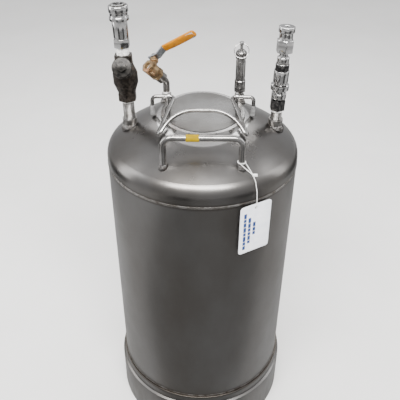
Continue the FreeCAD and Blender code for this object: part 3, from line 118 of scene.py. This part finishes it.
def make_floor():
    mesh = bpy.data.meshes.new("floor")
    reach = 6
    corners = [(-reach, -reach, 0), (reach, -reach, 0), (reach, reach, 0), (-reach, reach, 0)]
    mesh.from_pydata(corners, [], [(0, 1, 2, 3)])
    floor = bpy.data.objects.new("floor", mesh)
    bpy.context.scene.collection.objects.link(floor)
    paint = Paint("floor_white", (0.86, 0.855, 0.84), 0.6)
    patches = paint.noise(3, 4)
    paint.mix_colour(patches, (0.84, 0.835, 0.82), (0.88, 0.875, 0.865))
    mesh.materials.append(paint.made)


def flag(name, level, corners, height):
    """A grey card just over the floor, seen only in reflections, as a studio uses them."""
    shade = Paint(name, (level, level, level), 0.9)
    shade.mix_colour(shade.noise(2, 2), (level * 0.9,) * 3, (level * 1.1,) * 3)
    mesh = bpy.data.meshes.new(name)
    mesh.from_pydata([(x, y, height) for x, y in corners], [], [(0, 1, 2, 3)])
    mesh.materials.append(shade.made)
    made = bpy.data.objects.new(name, mesh)
    bpy.context.scene.collection.objects.link(made)
    made.visible_camera = False
    made.visible_diffuse = False
    made.visible_shadow = False


def make_flags():
    """One card under everything, one in front, and wedges that streak the upright fittings."""
    flag("flag_floor", 0.30, ((-2.5, -2.5), (2.5, -2.5), (2.5, 2.5), (-2.5, 2.5)), 0.0015)
    flag("flag_front", 0.12, ((-1.5, -2.4), (1.9, -2.4), (0.9, -0.18), (-0.5, -0.18)), 0.003)
    wedges = ((-128, -92), (-32, -12), (34, 62), (108, 142))
    near, far = 0.95, 3.2
    for index, (start, end) in enumerate(wedges):
        corners = []
        for angle, reach in ((start, near), (start, far), (end, far), (end, near)):
            bearing = math.radians(angle)
            corners.append((reach * math.sin(bearing), -reach * math.cos(bearing)))
        flag("flag_wedge_%d" % index, 0.012, corners, 0.0045)


# ---- materials -------------------------------------------------------------------------

class Paint:
    """A principled material, with short helpers for its procedural detail."""

    def __init__(self, name, colour, rough, metal=0.0):
        self.made = bpy.data.materials.new(name)
        self.made.use_nodes = True
        self.tree = self.made.node_tree
        self.shader = self.tree.nodes["Principled BSDF"]
        self.shader.inputs["Base Color"].default_value = (*colour, 1)
        self.shader.inputs["Roughness"].default_value = rough
        self.shader.inputs["Metallic"].default_value = metal
        self.bump = None

    def node(self, kind, **settings):
        made = self.tree.nodes.new(kind)
        for key, value in settings.items():
            setattr(made, key, value)
        return made

    def link(self, a, b):
        self.tree.links.new(a, b)

    def place(self, stretch=(1, 1, 1)):
        """Object coordinates, stretched."""
        where = self.node("ShaderNodeTexCoord")
        scale = self.node("ShaderNodeMapping")
        scale.inputs["Scale"].default_value = stretch
        self.link(where.outputs["Object"], scale.inputs["Vector"])
        return scale.outputs["Vector"]

    def noise(self, scale, detail=3, stretch=(1, 1, 1), rough=0.55):
        made = self.node("ShaderNodeTexNoise")
        made.inputs["Scale"].default_value = scale
        made.inputs["Detail"].default_value = detail
        made.inputs["Roughness"].default_value = rough
        self.link(self.place(stretch), made.inputs["Vector"])
        return made.outputs["Fac"]

    def ramp(self, source, low, high, start=(0, 0, 0), end=(1, 1, 1)):
        made = self.node("ShaderNodeValToRGB")
        first, last = made.color_ramp.elements
        first.position, last.position = low, high
        first.color = (*start, 1)
        last.color = (*end, 1)
        self.link(source, made.inputs["Fac"])
        return made.outputs["Color"]

    def mix_colour(self, factor, first, second, low=0.35, high=0.65):
        """Base colour between two colours by a factor."""
        colour = self.ramp(factor, low, high, first, second)
        self.link(colour, self.shader.inputs["Base Color"])
        return colour

    def layer(self, below, factor, above):
        """A second colour laid over the one below where the factor is high."""
        mix = self.node("ShaderNodeMix", data_type="RGBA")
        self.link(factor, mix.inputs["Factor"])
        self.link(below, mix.inputs["A"])
        mix.inputs["B"].default_value = (*above, 1)
        self.link(mix.outputs["Result"], self.shader.inputs["Base Color"])
        return mix.outputs["Result"]

    def roughness(self, factor, low, high):
        spread = self.node("ShaderNodeMapRange")
        spread.inputs["To Min"].default_value = low
        spread.inputs["To Max"].default_value = high
        self.link(factor, spread.inputs["Value"])
        self.link(spread.outputs["Result"], self.shader.inputs["Roughness"])

    def relief(self, factor, strength, depth):
        made = self.node("ShaderNodeBump")
        made.inputs["Strength"].default_value = strength
        made.inputs["Distance"].default_value = depth
        self.link(factor, made.inputs["Height"])
        if self.bump:
            self.link(self.bump.outputs["Normal"], made.inputs["Normal"])
        self.bump = made
        self.link(made.outputs["Normal"], self.shader.inputs["Normal"])

    def height_band(self, level, spread):
        """1 at a height of the object, falling to 0 at a distance from it."""
        where = self.node("ShaderNodeTexCoord")
        split = self.node("ShaderNodeSeparateXYZ")
        self.link(where.outputs["Object"], split.inputs[0])
        away = self.node("ShaderNodeMath", operation="SUBTRACT")
        self.link(split.outputs["Z"], away.inputs[0])
        away.inputs[1].default_value = level
        size = self.node("ShaderNodeMath", operation="ABSOLUTE")
        self.link(away.outputs[0], size.inputs[0])
        band = self.node("ShaderNodeMapRange", interpolation_type="SMOOTHSTEP")
        band.inputs["From Min"].default_value = 0
        band.inputs["From Max"].default_value = spread
        band.inputs["To Min"].default_value = 1
        band.inputs["To Max"].default_value = 0
        self.link(size.outputs[0], band.inputs["Value"])
        return band.outputs["Result"]

    def inside_oval(self, halves, soft=0.02):
        """1 inside an oval of the plan, falling to 0 just outside it."""
        away = self.node("ShaderNodeVectorMath", operation="LENGTH")
        self.link(self.place((1 / halves[0], 1 / halves[1], 0)), away.inputs[0])
        edge = self.node("ShaderNodeMapRange", interpolation_type="SMOOTHSTEP")
        edge.inputs["From Min"].default_value = 1 - soft
        edge.inputs["From Max"].default_value = 1 + soft
        edge.inputs["To Min"].default_value = 1
        edge.inputs["To Max"].default_value = 0
        self.link(away.outputs["Value"], edge.inputs["Value"])
        return edge.outputs["Result"]


def vessel_steel():
    """Dull rolled sheet: round brushing, faint stains, and heat colour beside the seams."""
    paint = Paint("vessel_steel", (0.16, 0.155, 0.15), 0.34, 1)
    stains = paint.noise(7, 6, (1, 1, 0.5))
    colour = paint.mix_colour(stains, (0.132, 0.124, 0.116), (0.172, 0.169, 0.166))
    for level in (SEAM_Z, LOWER_SEAM_Z):
        band = paint.height_band(level, 0.007)
        colour = paint.layer(colour, band, (0.075, 0.066, 0.058))
    brushing = paint.noise(1, 4, (9, 9, 1400), 0.7)
    paint.roughness(paint.noise(22, 6), 0.28, 0.46)
    paint.relief(brushing, 0.06, 0.0004)
    paint.relief(paint.noise(35, 2), 0.06, 0.002)
    return paint.made


def head_steel():
    """The vessel's sheet on the domed head: polished on the collar round the mouth, where a lighter colour is laid
    on as a painted highlight.
    """
    paint = Paint("head_steel", (0.16, 0.155, 0.15), 0.34, 1)
    stains = paint.noise(9, 6)
    colour = paint.mix_colour(stains, (0.130, 0.122, 0.114), (0.172, 0.168, 0.165))
    # The collar oval: its lower roughness below is real polish, and its lighter base colour is a painted
    # highlight.
    collar_polish_and_painted_highlight = paint.inside_oval(COLLAR_HALVES)
    colour = paint.layer(colour, collar_polish_and_painted_highlight, (0.52, 0.51, 0.50))
    paint.layer(colour, paint.height_band(SEAM_Z, 0.007), (0.075, 0.066, 0.058))
    cloud = paint.noise(22, 6)
    gloss = paint.node("ShaderNodeMath", operation="MULTIPLY_ADD")
    paint.link(collar_polish_and_painted_highlight, gloss.inputs[0])
    gloss.inputs[1].default_value = -0.9
    paint.link(cloud, gloss.inputs[2])
    paint.roughness(gloss.outputs[0], 0.22, 0.36)
    paint.relief(paint.noise(35, 2), 0.06, 0.002)
    return paint.made


def polished_steel():
    """Bright drawn rod and welded fittings, with fine draw marks."""
    paint = Paint("polished_steel", (0.56, 0.55, 0.54), 0.22, 1)
    paint.mix_colour(paint.noise(60, 4), (0.23, 0.222, 0.214), (0.34, 0.335, 0.33))
    paint.roughness(paint.noise(140, 4), 0.16, 0.30)
    paint.relief(paint.noise(300, 3), 0.03, 0.0003)
    return paint.made


def lid_steel():
    """Polished pressing of the lid, brushed along its length."""
    paint = Paint("lid_steel", (0.16, 0.155, 0.15), 0.25, 1)
    paint.mix_colour(paint.noise(14, 5), (0.12, 0.115, 0.108), (0.19, 0.187, 0.184))
    paint.roughness(paint.noise(25, 3), 0.20, 0.32)
    paint.relief(paint.noise(18, 2), 0.05, 0.002)
    return paint.made


def fitting_steel():
    """Turned stainless pipe fittings, greyed in use."""
    paint = Paint("fitting_steel", (0.42, 0.41, 0.39), 0.34, 1)
    paint.mix_colour(paint.noise(120, 5), (0.15, 0.142, 0.132), (0.29, 0.283, 0.276))
    paint.roughness(paint.noise(200, 4), 0.24, 0.46)
    paint.relief(paint.noise(1, 3, (40, 40, 3200)), 0.12, 0.0003)
    return paint.made


def chrome():
    """Nickel plate of the couplers, with turning marks and a little soil."""
    paint = Paint("chrome", (0.66, 0.65, 0.64), 0.14, 1)
    paint.mix_colour(paint.noise(90, 5), (0.42, 0.415, 0.41), (0.60, 0.60, 0.60))
    paint.roughness(paint.noise(160, 5), 0.05, 0.17)
    paint.relief(paint.noise(1, 2, (60, 60, 2600)), 0.06, 0.0002)
    return paint.made


def dark_casting():
    """Dark brown sand casting."""
    paint = Paint("dark_casting", (0.03, 0.026, 0.024), 0.4, 0.85)
    paint.mix_colour(paint.noise(220, 6), (0.012, 0.010, 0.009), (0.060, 0.050, 0.042))
    paint.roughness(paint.noise(300, 4), 0.26, 0.55)
    paint.relief(paint.noise(600, 4), 0.35, 0.0007)
    return paint.made


def dark_cap():
    """Turned bonnet of the check valve: smooth and nearly black, bright where it is worn."""
    paint = Paint("dark_cap", (0.02, 0.02, 0.02), 0.25, 0.4)
    paint.shader.inputs["Specular IOR Level"].default_value = 0.12
    paint.mix_colour(paint.noise(260, 6), (0.005, 0.005, 0.005), (0.028, 0.026, 0.024))
    paint.roughness(paint.noise(300, 4), 0.14, 0.30)
    paint.relief(paint.noise(500, 3), 0.12, 0.0003)
    return paint.made


def black_fitting():
    """Black-oxide steel with bare metal showing through."""
    paint = Paint("black_fitting", (0.04, 0.04, 0.04), 0.38, 0.85)
    paint.mix_colour(paint.noise(240, 6), (0.022, 0.022, 0.023), (0.16, 0.155, 0.15), 0.45, 0.80)
    paint.roughness(paint.noise(300, 3), 0.28, 0.52)
    paint.relief(paint.noise(900, 3), 0.15, 0.0003)
    return paint.made


def aged_brass():
    """Old valve bronze, olive brown with coppery wear."""
    paint = Paint("aged_brass", (0.30, 0.20, 0.10), 0.42, 1)
    colour = paint.mix_colour(paint.noise(110, 6), (0.17, 0.115, 0.06), (0.42, 0.30, 0.17))
    worn = paint.ramp(paint.noise(60, 4), 0.52, 0.66)
    paint.layer(colour, worn, (0.52, 0.27, 0.15))
    paint.roughness(paint.noise(180, 4), 0.30, 0.58)
    paint.relief(paint.noise(600, 4), 0.25, 0.0005)
    return paint.made


def zinc():
    """Zinc-plated pressed steel, blue-grey."""
    paint = Paint("zinc", (0.40, 0.42, 0.45), 0.34, 1)
    paint.mix_colour(paint.noise(220, 5), (0.30, 0.32, 0.35), (0.55, 0.57, 0.60))
    paint.roughness(paint.noise(180, 4), 0.22, 0.46)
    paint.relief(paint.noise(500, 3), 0.10, 0.0003)
    return paint.made


def vinyl():
    """Dipped orange vinyl, a little soiled."""
    paint = Paint("vinyl", (0.46, 0.17, 0.0), 0.36)
    colour = paint.mix_colour(paint.noise(70, 4), (0.38, 0.13, 0.0), (0.52, 0.20, 0.0))
    soil = paint.ramp(paint.noise(160, 6), 0.58, 0.74)
    paint.layer(colour, soil, (0.24, 0.11, 0.02))
    paint.shader.inputs["Specular IOR Level"].default_value = 0.25
    paint.roughness(paint.noise(90, 3), 0.26, 0.46)
    paint.relief(paint.noise(500, 3), 0.08, 0.0003)
    paint.shader.inputs["Subsurface Weight"].default_value = 0.08
    paint.shader.inputs["Subsurface Radius"].default_value = (0.004, 0.002, 0.001)
    return paint.made


def yellow_tape():
    """Creased vinyl tape."""
    paint = Paint("yellow_tape", (0.25, 0.165, 0.0), 0.5)
    paint.mix_colour(paint.noise(120, 5), (0.21, 0.135, 0.0), (0.29, 0.20, 0.0))
    paint.shader.inputs["Specular IOR Level"].default_value = 0.05
    paint.roughness(paint.noise(200, 3), 0.30, 0.55)
    paint.relief(paint.noise(300, 4, (1, 4, 4)), 0.3, 0.0006)
    return paint.made


def thread_tape():
    """White thread-sealing tape, frayed and wrinkled."""
    paint = Paint("thread_tape", (0.86, 0.86, 0.85), 0.5)
    paint.mix_colour(paint.noise(260, 6), (0.62, 0.61, 0.58), (0.93, 0.93, 0.92))
    paint.relief(paint.noise(1, 5, (300, 300, 2400)), 0.5, 0.0006)
    paint.shader.inputs["Subsurface Weight"].default_value = 0.1
    paint.shader.inputs["Subsurface Radius"].default_value = (0.002, 0.002, 0.002)
    return paint.made


def rubber():
    """Moulded black rubber, greyed by dust."""
    paint = Paint("rubber", (0.035, 0.035, 0.036), 0.62)
    paint.mix_colour(paint.noise(150, 5), (0.022, 0.022, 0.023), (0.09, 0.09, 0.09))
    paint.roughness(paint.noise(220, 3), 0.50, 0.78)
    paint.relief(paint.noise(900, 3), 0.2, 0.0003)
    return paint.made


def grey_rubber():
    """Weathered grey rubber sleeve."""
    paint = Paint("grey_rubber", (0.15, 0.15, 0.15), 0.6)
    paint.mix_colour(paint.noise(170, 5), (0.10, 0.10, 0.10), (0.24, 0.24, 0.24))
    paint.roughness(paint.noise(220, 3), 0.48, 0.74)
    paint.relief(paint.noise(800, 3), 0.2, 0.0003)
    return paint.made


def card():
    """Coated white card."""
    paint = Paint("card", (0.86, 0.88, 0.93), 0.42)
    paint.mix_colour(paint.noise(90, 5), (0.80, 0.83, 0.90), (0.90, 0.92, 0.96))
    paint.roughness(paint.noise(260, 3), 0.34, 0.52)
    paint.relief(paint.noise(1400, 4), 0.08, 0.0002)
    return paint.made


def weld_metal():
    """Weld metal: bright ripples over straw and blue heat colour."""
    paint = Paint("weld_metal", (0.50, 0.48, 0.45), 0.30, 1)
    colour = paint.mix_colour(paint.noise(170, 5), (0.09, 0.08, 0.072), (0.25, 0.245, 0.24))
    tint = paint.ramp(paint.noise(60, 3), 0.55, 0.72)
    paint.layer(colour, tint, (0.07, 0.06, 0.062))
    paint.roughness(paint.noise(260, 4), 0.22, 0.5)
    paint.relief(paint.noise(900, 3), 0.2, 0.0003)
    return paint.made


def ground_weld():
    """Seam weld, rolled flat: duller than the sheet, with straw heat colour."""
    paint = Paint("ground_weld", (0.22, 0.21, 0.20), 0.34, 1)
    paint.mix_colour(paint.noise(90, 5), (0.13, 0.115, 0.10), (0.34, 0.33, 0.32))
    paint.roughness(paint.noise(200, 4), 0.26, 0.5)
    paint.relief(paint.noise(700, 3), 0.15, 0.0003)
    return paint.made


def relief_metal():
    """Smoked nickel plate of the relief valve."""
    paint = Paint("relief_metal", (0.22, 0.21, 0.21), 0.16, 1)
    paint.mix_colour(paint.noise(120, 5), (0.14, 0.135, 0.13), (0.34, 0.335, 0.33))
    paint.roughness(paint.noise(200, 4), 0.10, 0.28)
    return paint.made


def print_blue():
    """Blue ink."""
    paint = Paint("print_blue", (0.015, 0.07, 0.30), 0.5)
    paint.mix_colour(paint.noise(900, 4), (0.008, 0.045, 0.24), (0.025, 0.10, 0.36))
    return paint.made


def nylon():
    """Clear white nylon."""
    paint = Paint("nylon", (0.84, 0.84, 0.82), 0.34)
    paint.mix_colour(paint.noise(150, 3), (0.74, 0.74, 0.72), (0.90, 0.90, 0.88))
    paint.roughness(paint.noise(200, 3), 0.26, 0.42)
    paint.shader.inputs["Subsurface Weight"].default_value = 0.15
    paint.shader.inputs["Subsurface Radius"].default_value = (0.002, 0.002, 0.002)
    return paint.made


# ---- mesh tools ------------------------------------------------------------------------

def piece(name, mesh, body, material, *nodes):
    """Add a mesh as a piece that rides on a body and stands for CAD nodes."""
    made = bpy.data.objects.new(name, mesh)
    bpy.context.scene.collection.objects.link(made)
    mesh.materials.clear()
    mesh.materials.append(material)
    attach(made, body)
    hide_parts(*nodes)
    return made


def finish_mesh(work, name, sharp=40):
    """Turn a bmesh into a smooth-shaded mesh whose sharp edges stay sharp."""
    bmesh.ops.recalc_face_normals(work, faces=work.faces)
    mesh = bpy.data.meshes.new(name)
    work.to_mesh(mesh)
    work.free()
    mesh.shade_smooth()
    mesh.set_sharp_from_angle(angle=math.radians(sharp))
    return mesh


def node_bmesh(node):
    """The CAD node's own surface, with its seams closed and flat faces joined."""
    work = bmesh.new()
    work.from_mesh(NODES[node].data)
    bmesh.ops.remove_doubles(work, verts=work.verts, dist=1e-6)
    bmesh.ops.dissolve_limit(work, angle_limit=math.radians(1), verts=work.verts,
                             edges=work.edges)
    return work


def eased(node, width, material, body):
    """A CAD node with its machined edges broken."""
    work = node_bmesh(node)
    edges = [edge for edge in work.edges
             if len(edge.link_faces) == 2 and edge.calc_face_angle() > math.radians(32)]
    bmesh.ops.bevel(work, geom=edges, offset=width, segments=2, profile=0.6,
                    affect="EDGES", clamp_overlap=True)
    bmesh.ops.triangulate(work, faces=[face for face in work.faces if len(face.verts) > 4])
    return piece(node + "_eased", finish_mesh(work, node), body, material, node)


def remeshed(node, voxel):
    """The CAD node as a fine even mesh, ready to be roughened."""
    source = bpy.data.objects.new("source", NODES[node].data.copy())
    bpy.context.scene.collection.objects.link(source)
    even = source.modifiers.new("even", "REMESH")
    even.mode = "VOXEL"
    even.voxel_size = voxel
    smooth = source.modifiers.new("smooth", "SMOOTH")
    smooth.iterations = 3
    depsgraph = bpy.context.evaluated_depsgraph_get()
    mesh = bpy.data.meshes.new_from_object(source.evaluated_get(depsgraph))
    bpy.data.objects.remove(source)
    return mesh


def roughened(node, voxel, depth, scale, material, body, stretch=(1, 1, 1)):
    """A CAD node with an uneven surface, as a casting or wound tape has."""
    mesh = remeshed(node, voxel)
    work = bmesh.new()
    work.from_mesh(mesh)
    work.normal_update()
    for vertex in work.verts:
        at = Vector(a * b * scale for a, b in zip(vertex.co, stretch))
        vertex.co += vertex.normal * depth * noise.noise(at)
    return piece(node + "_surface", finish_mesh(work, node, 60), body, material, node)


def grid_mesh(name, rows, sharp=40):
    """A closed tube from rings of points, each ring a list of the same length."""
    work = bmesh.new()
    rings = [[work.verts.new(point) for point in row] for row in rows]
    count = len(rings[0])
    for below, above in zip(rings, rings[1:]):
        for k in range(count):
            work.faces.new((below[k], below[(k + 1) % count],
                            above[(k + 1) % count], above[k]))
    work.faces.new(rings[0][::-1])
    work.faces.new(rings[-1])
    return finish_mesh(work, name, sharp)


# ---- pieces ----------------------------------------------------------------------------

PORT_LEAN = math.radians(1.8)
THREAD_PITCH = 0.00141
THREAD_DEPTH = 0.0006
STEPS_PER_THREAD = 6
BEAD_VOXEL = 0.0006
BEAD_RIPPLE = 0.0021
GIRTH_RIPPLES = 430
GIRTH_STEPS = 2600
GIRTH_SIDES = 8
TAG_BEARING = math.radians(30)
BAR_HALF_WIDTH = 0.0024
BAR_GAP = 0.0011
LEAST_BAR = 0.0015


def port_axis(nodes):
    """A point on the axis of a stack of nodes, and the axis: the two outer stacks lean out."""
    centre = middle(nodes[0])
    side = 0 if abs(centre.y) > 0.03 else math.copysign(1, centre.x)
    return centre, Vector((math.sin(PORT_LEAN) * side, 0, math.cos(PORT_LEAN)))


def make_threads():
    """Pipe nipples with their thread cut as a helix."""
    for node in ("left_nipple", "left_upper_nipple", "right_nipple", "relief_nipple"):
        centre, axis = port_axis([node])
        low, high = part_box(node)
        length = (high.z - low.z - abs(axis.x) * (high.x - low.x)) / axis.z
        radius = (high.y - low.y) / 2
        across = axis.orthogonal().normalized()
        other = axis.cross(across)
        steps, around = int(length / THREAD_PITCH * STEPS_PER_THREAD), 64
        rows = []
        for step in range(steps + 1):
            height = (step / steps - 0.5) * length
            ring = []
            for k in range(around):
                angle = 2 * math.pi * k / around
                phase = height / THREAD_PITCH - k / around
                groove = abs(phase - math.floor(phase) - 0.5) * 2
                reach = radius - THREAD_DEPTH * groove
                ring.append(centre + axis * height
                            + (across * math.cos(angle) + other * math.sin(angle)) * reach)
            rows.append(ring)
        mesh = grid_mesh(node, rows, sharp=80)
        piece(node + "_threaded", mesh, "tank", MATERIALS["fitting_steel"], node)


def islands(work):
    """The separate surfaces of a bmesh, each as a list of its vertices."""
    seen = set()
    for start in work.verts:
        if start in seen:
            continue
        island, front = [], [start]
        seen.add(start)
        while front:
            vertex = front.pop()
            island.append(vertex)
            for edge in vertex.link_edges:
                other = edge.other_vert(vertex)
                if other not in seen:
                    seen.add(other)
                    front.append(other)
        yield island


def make_weld_beads():
    """Beads at the ports and the handle, with the ripple that a weld pool leaves."""
    work = bmesh.new()
    work.from_mesh(remeshed("weld_beads", BEAD_VOXEL))
    work.verts.ensure_lookup_table()
    work.normal_update()
    for island in islands(work):
        centre = sum((vertex.co for vertex in island), Vector()) / len(island)
        reach = max((vertex.co - centre).length for vertex in island)
        ripples = round(2 * math.pi * reach / BEAD_RIPPLE)
        for vertex in island:
            away = vertex.co - centre
            angle = math.atan2(away.y, away.x)
            wave = math.cos(ripples * angle) * 0.00022
            vertex.co += vertex.normal * (wave + noise.noise(vertex.co * 300) * 0.0003)
    piece("weld_beads_rippled", finish_mesh(work, "weld_beads", 70), "tank",
          MATERIALS["weld"], "weld_beads")


def make_girth_welds():
    """Rings of weld metal round both seams."""
    work = bmesh.new()
    for level in (SEAM_Z, LOWER_SEAM_Z):
        rings = []
        for k in range(GIRTH_STEPS):
            angle = 2 * math.pi * k / GIRTH_STEPS
            wave = 0.00012 * math.cos(GIRTH_RIPPLES * angle) + 0.00015 * noise.noise(
                Vector((math.cos(angle) * 40, math.sin(angle) * 40, level)))
            ring = []
            for j in range(GIRTH_SIDES):
                turn = 2 * math.pi * j / GIRTH_SIDES
                reach = TANK_RADIUS - 0.0002 + (0.0007 + wave) * math.cos(turn)
                ring.append(work.verts.new((reach * math.cos(angle), reach * math.sin(angle),
                                            level + 0.0022 * math.sin(turn))))
            rings.append(ring)
        for before, after in zip(rings, rings[1:] + rings[:1]):
            for j in range(GIRTH_SIDES):
                following = (j + 1) % GIRTH_SIDES
                work.faces.new((before[j], before[following], after[following], after[j]))
    piece("girth_weld_beads", finish_mesh(work, "girth_welds", 80), "tank",
          MATERIALS["ground_weld"], "girth_welds")


def valve_axes():
    """Ball centre, and the valve's stem, flow and closed lever directions."""
    joint = next(row for row in frame["joints"] if row["name"] == "valve_turn")
    mount = next(row for row in frame["record"]["mounts"] if row["name"] == "valve_outlet")
    stem = -Vector(joint["axis"]).normalized()
    flow = Vector(mount["axis"]).normalized()
    return Vector(joint["pos_m"]), stem, flow, stem.cross(flow)


def make_grip():
    """Dipped sleeve of the lever, with a mouth bead, a soft swell and a domed tip."""
    ball, stem, flow, lever = valve_axes()
    start, end, level = 0.021, 0.0815, 0.0352
    half_width, half_thick = 0.0073, 0.0028
    rows = []
    steps, around = 60, 40
    for step in range(steps + 1):
        share = step / steps
        place = start + (end - start) * share
        swell = 0.93 + 0.07 * math.sin(math.pi * share)
        tip = max(0.0, (place - (end - half_width * 0.55)) / (half_width * 0.55))
        swell *= math.sqrt(max(0.0, 1 - min(tip, 0.995) ** 2))
        lip = 1.05 if step < 2 else 1.0
        rise = 0.0016 * share * share
        ring = []
        for k in range(around):
            angle = 2 * math.pi * k / around
            c, s = math.cos(angle), math.sin(angle)
            wide = math.copysign(abs(c) ** 0.7, c) * half_width
            tall = math.copysign(abs(s) ** 0.8, s) * half_thick * (1 - 0.35 * tip)
            ring.append(ball + lever * place + stem * (level + rise + tall * swell * lip)
                        + flow * (wide * swell * lip))
        rows.append(ring)
    piece("lever_grip_sleeve", grid_mesh("lever_grip", rows, sharp=70), "valve_handle",
          MATERIALS["vinyl_grip"], "lever_grip")


def make_tape_band():
    """Yellow tape wound round the handle's bar, with one lifted overlap."""
    low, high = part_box("handle_band")
    centre = (low + high) / 2
    radius = (high.z - low.z) / 2
    rows = []
    steps, around = 26, 72
    for step in range(steps + 1):
        share = step / steps
        place = low.x + (high.x - low.x) * share
        ring = []
        for k in range(around):
            angle = 2 * math.pi * k / around
            overlap = 0.00035 * max(0.0, 1 - k / 9)
            crease = 0.00018 * noise.noise(Vector((place * 500, angle * 2, 0)))
            reach = radius - 0.0002 + overlap + crease
            ragged = 0.0007 * noise.noise(Vector((angle * 3, share * 2, 5)))
            shift = ragged if step in (0, steps) else ragged * abs(share - 0.5) * 2
            ring.append(Vector((place + shift, centre.y + reach * math.cos(angle),
                                centre.z + reach * math.sin(angle))))
        rows.append(ring)
    piece("handle_tape", grid_mesh("handle_band", rows, sharp=60), "tank",
          MATERIALS["yellow_tape"], "handle_band")


def make_tag_print():
    """Plain blue bars printed on the tag, standing for its lines of text."""
    low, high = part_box("tag")
    out = Vector((math.sin(TAG_BEARING), -math.cos(TAG_BEARING), 0))
    across = Vector((math.cos(TAG_BEARING), math.sin(TAG_BEARING), 0))
    centre = (low + high) / 2
    face = max(vertex.co.dot(out) for vertex in NODES["tag"].data.vertices) + 0.00006
    foot = centre - out * centre.dot(out) + out * face
    work = bmesh.new()
    seed = random.Random(7)
    for column, (start, end) in zip((-0.0180, -0.0100, -0.0015),
                                    ((-0.036, 0.031), (-0.026, 0.021), (-0.012, 0.011))):
        place = start
        while place < end:
            size = min(seed.uniform(0.005, 0.012), end - place)
            if size > LEAST_BAR:
                corners = []
                for a, b in ((-1, 0), (1, 0), (1, 1), (-1, 1)):
                    corner = foot + across * (column + a * BAR_HALF_WIDTH)
                    corners.append(work.verts.new(corner + Vector((0, 0, place + b * size))))
                work.faces.new(corners)
            place += size + BAR_GAP
    bmesh.ops.solidify(work, geom=work.faces[:], thickness=0.00005)
    mesh = finish_mesh(work, "tag_print")
    made = bpy.data.objects.new("tag_print", mesh)
    bpy.context.scene.collection.objects.link(made)
    mesh.materials.append(print_blue())
    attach(made, "tag")


# ---- the scene, its finishes and its pieces --------------------------------------------

make_camera()
make_world()
make_floor()
area_light("overhead", (-0.1, -1.15, 2.15), (0, 0, 0.45), (2.0, 0.55), 125, (1.0, 0.985, 0.96))
area_light("side_left", (-1.6, 0.1, 1.0), (0, 0, 0.4), (0.5, 1.5), 14)
area_light("side_right", (1.6, 0.2, 1.2), (0, 0, 0.4), (0.4, 1.5), 10)
area_light("back", (0.0, 1.5, 2.0), (0, 0, 0.5), (2.2, 1.0), 34)
make_flags()

MATERIALS = {
    "vessel_steel": vessel_steel(), "polished_steel": polished_steel(),
    "fitting_steel": fitting_steel(), "chrome": chrome(), "dark_casting": dark_casting(),
    "black_fitting": black_fitting(), "brass": aged_brass(), "zinc": zinc(),
    "vinyl_grip": vinyl(), "yellow_tape": yellow_tape(), "thread_tape": thread_tape(),
    "rubber": rubber(), "card": card(), "nylon": nylon(), "weld": weld_metal(),
    "ground_weld": ground_weld(),
    "lid_steel": lid_steel(), "grey_rubber": grey_rubber(), "relief": relief_metal(),
    "head_steel": head_steel(), "dark_cap": dark_cap(),
}
SLOTS = {row["node"]: row["material_slot"] for row in frame["record"]["subparts"]}
OWN_FINISH = {"lid_plate": "lid_steel", "check_valve_bonnet": "dark_cap",
              "top_head": "head_steel", "bail_feet": "grey_rubber",
              "relief_body": "relief", "relief_cap": "relief"}
EASED = {
    "coupler_body": 0.0005, "coupler_sleeve": 0.0005, "right_adapter": 0.0004,
    "socket_body": 0.0004, "socket_sleeve": 0.0005, "socket_sleeve_band": 0.0002,
    "hose_plug": 0.0005, "relief_body": 0.0004, "relief_cap": 0.0005, "relief_stem": 0.0003,
    "ball_valve_body": 0.0004, "ball_valve_end_cap": 0.0005, "packing_nut": 0.0005,
    "lever_nut": 0.0004, "valve_lever": 0.0005, "check_valve_bonnet": 0.0006,
    "bail_feet": 0.0006, "lid_lugs": 0.0008, "port_coupling_left": 0.0006,
    "port_coupling_right": 0.0006, "port_coupling_gas": 0.0006,
    "port_coupling_relief": 0.0006, "foot_skirt": 0.0007, "tag": 0.0002,
    "check_valve_body": 0.0009,
}
BODY_OF = {node: body for body, members in frame["record"]["behaviour"]["bodies"].items()
           for node in members}
FINISH = {name: MATERIALS[OWN_FINISH.get(name, SLOTS[name])] for name in NODES}
for name, node in NODES.items():
    node.data.materials.clear()
    node.data.materials.append(FINISH[name])
for name, width in EASED.items():
    eased(name, width, FINISH[name], BODY_OF[name])
roughened("thread_tape", 0.0004, 0.0007, 420, MATERIALS["thread_tape"], "tank", (1, 1, 3))
make_threads()
make_weld_beads()
make_girth_welds()
make_grip()
make_tape_band()
make_tag_print()
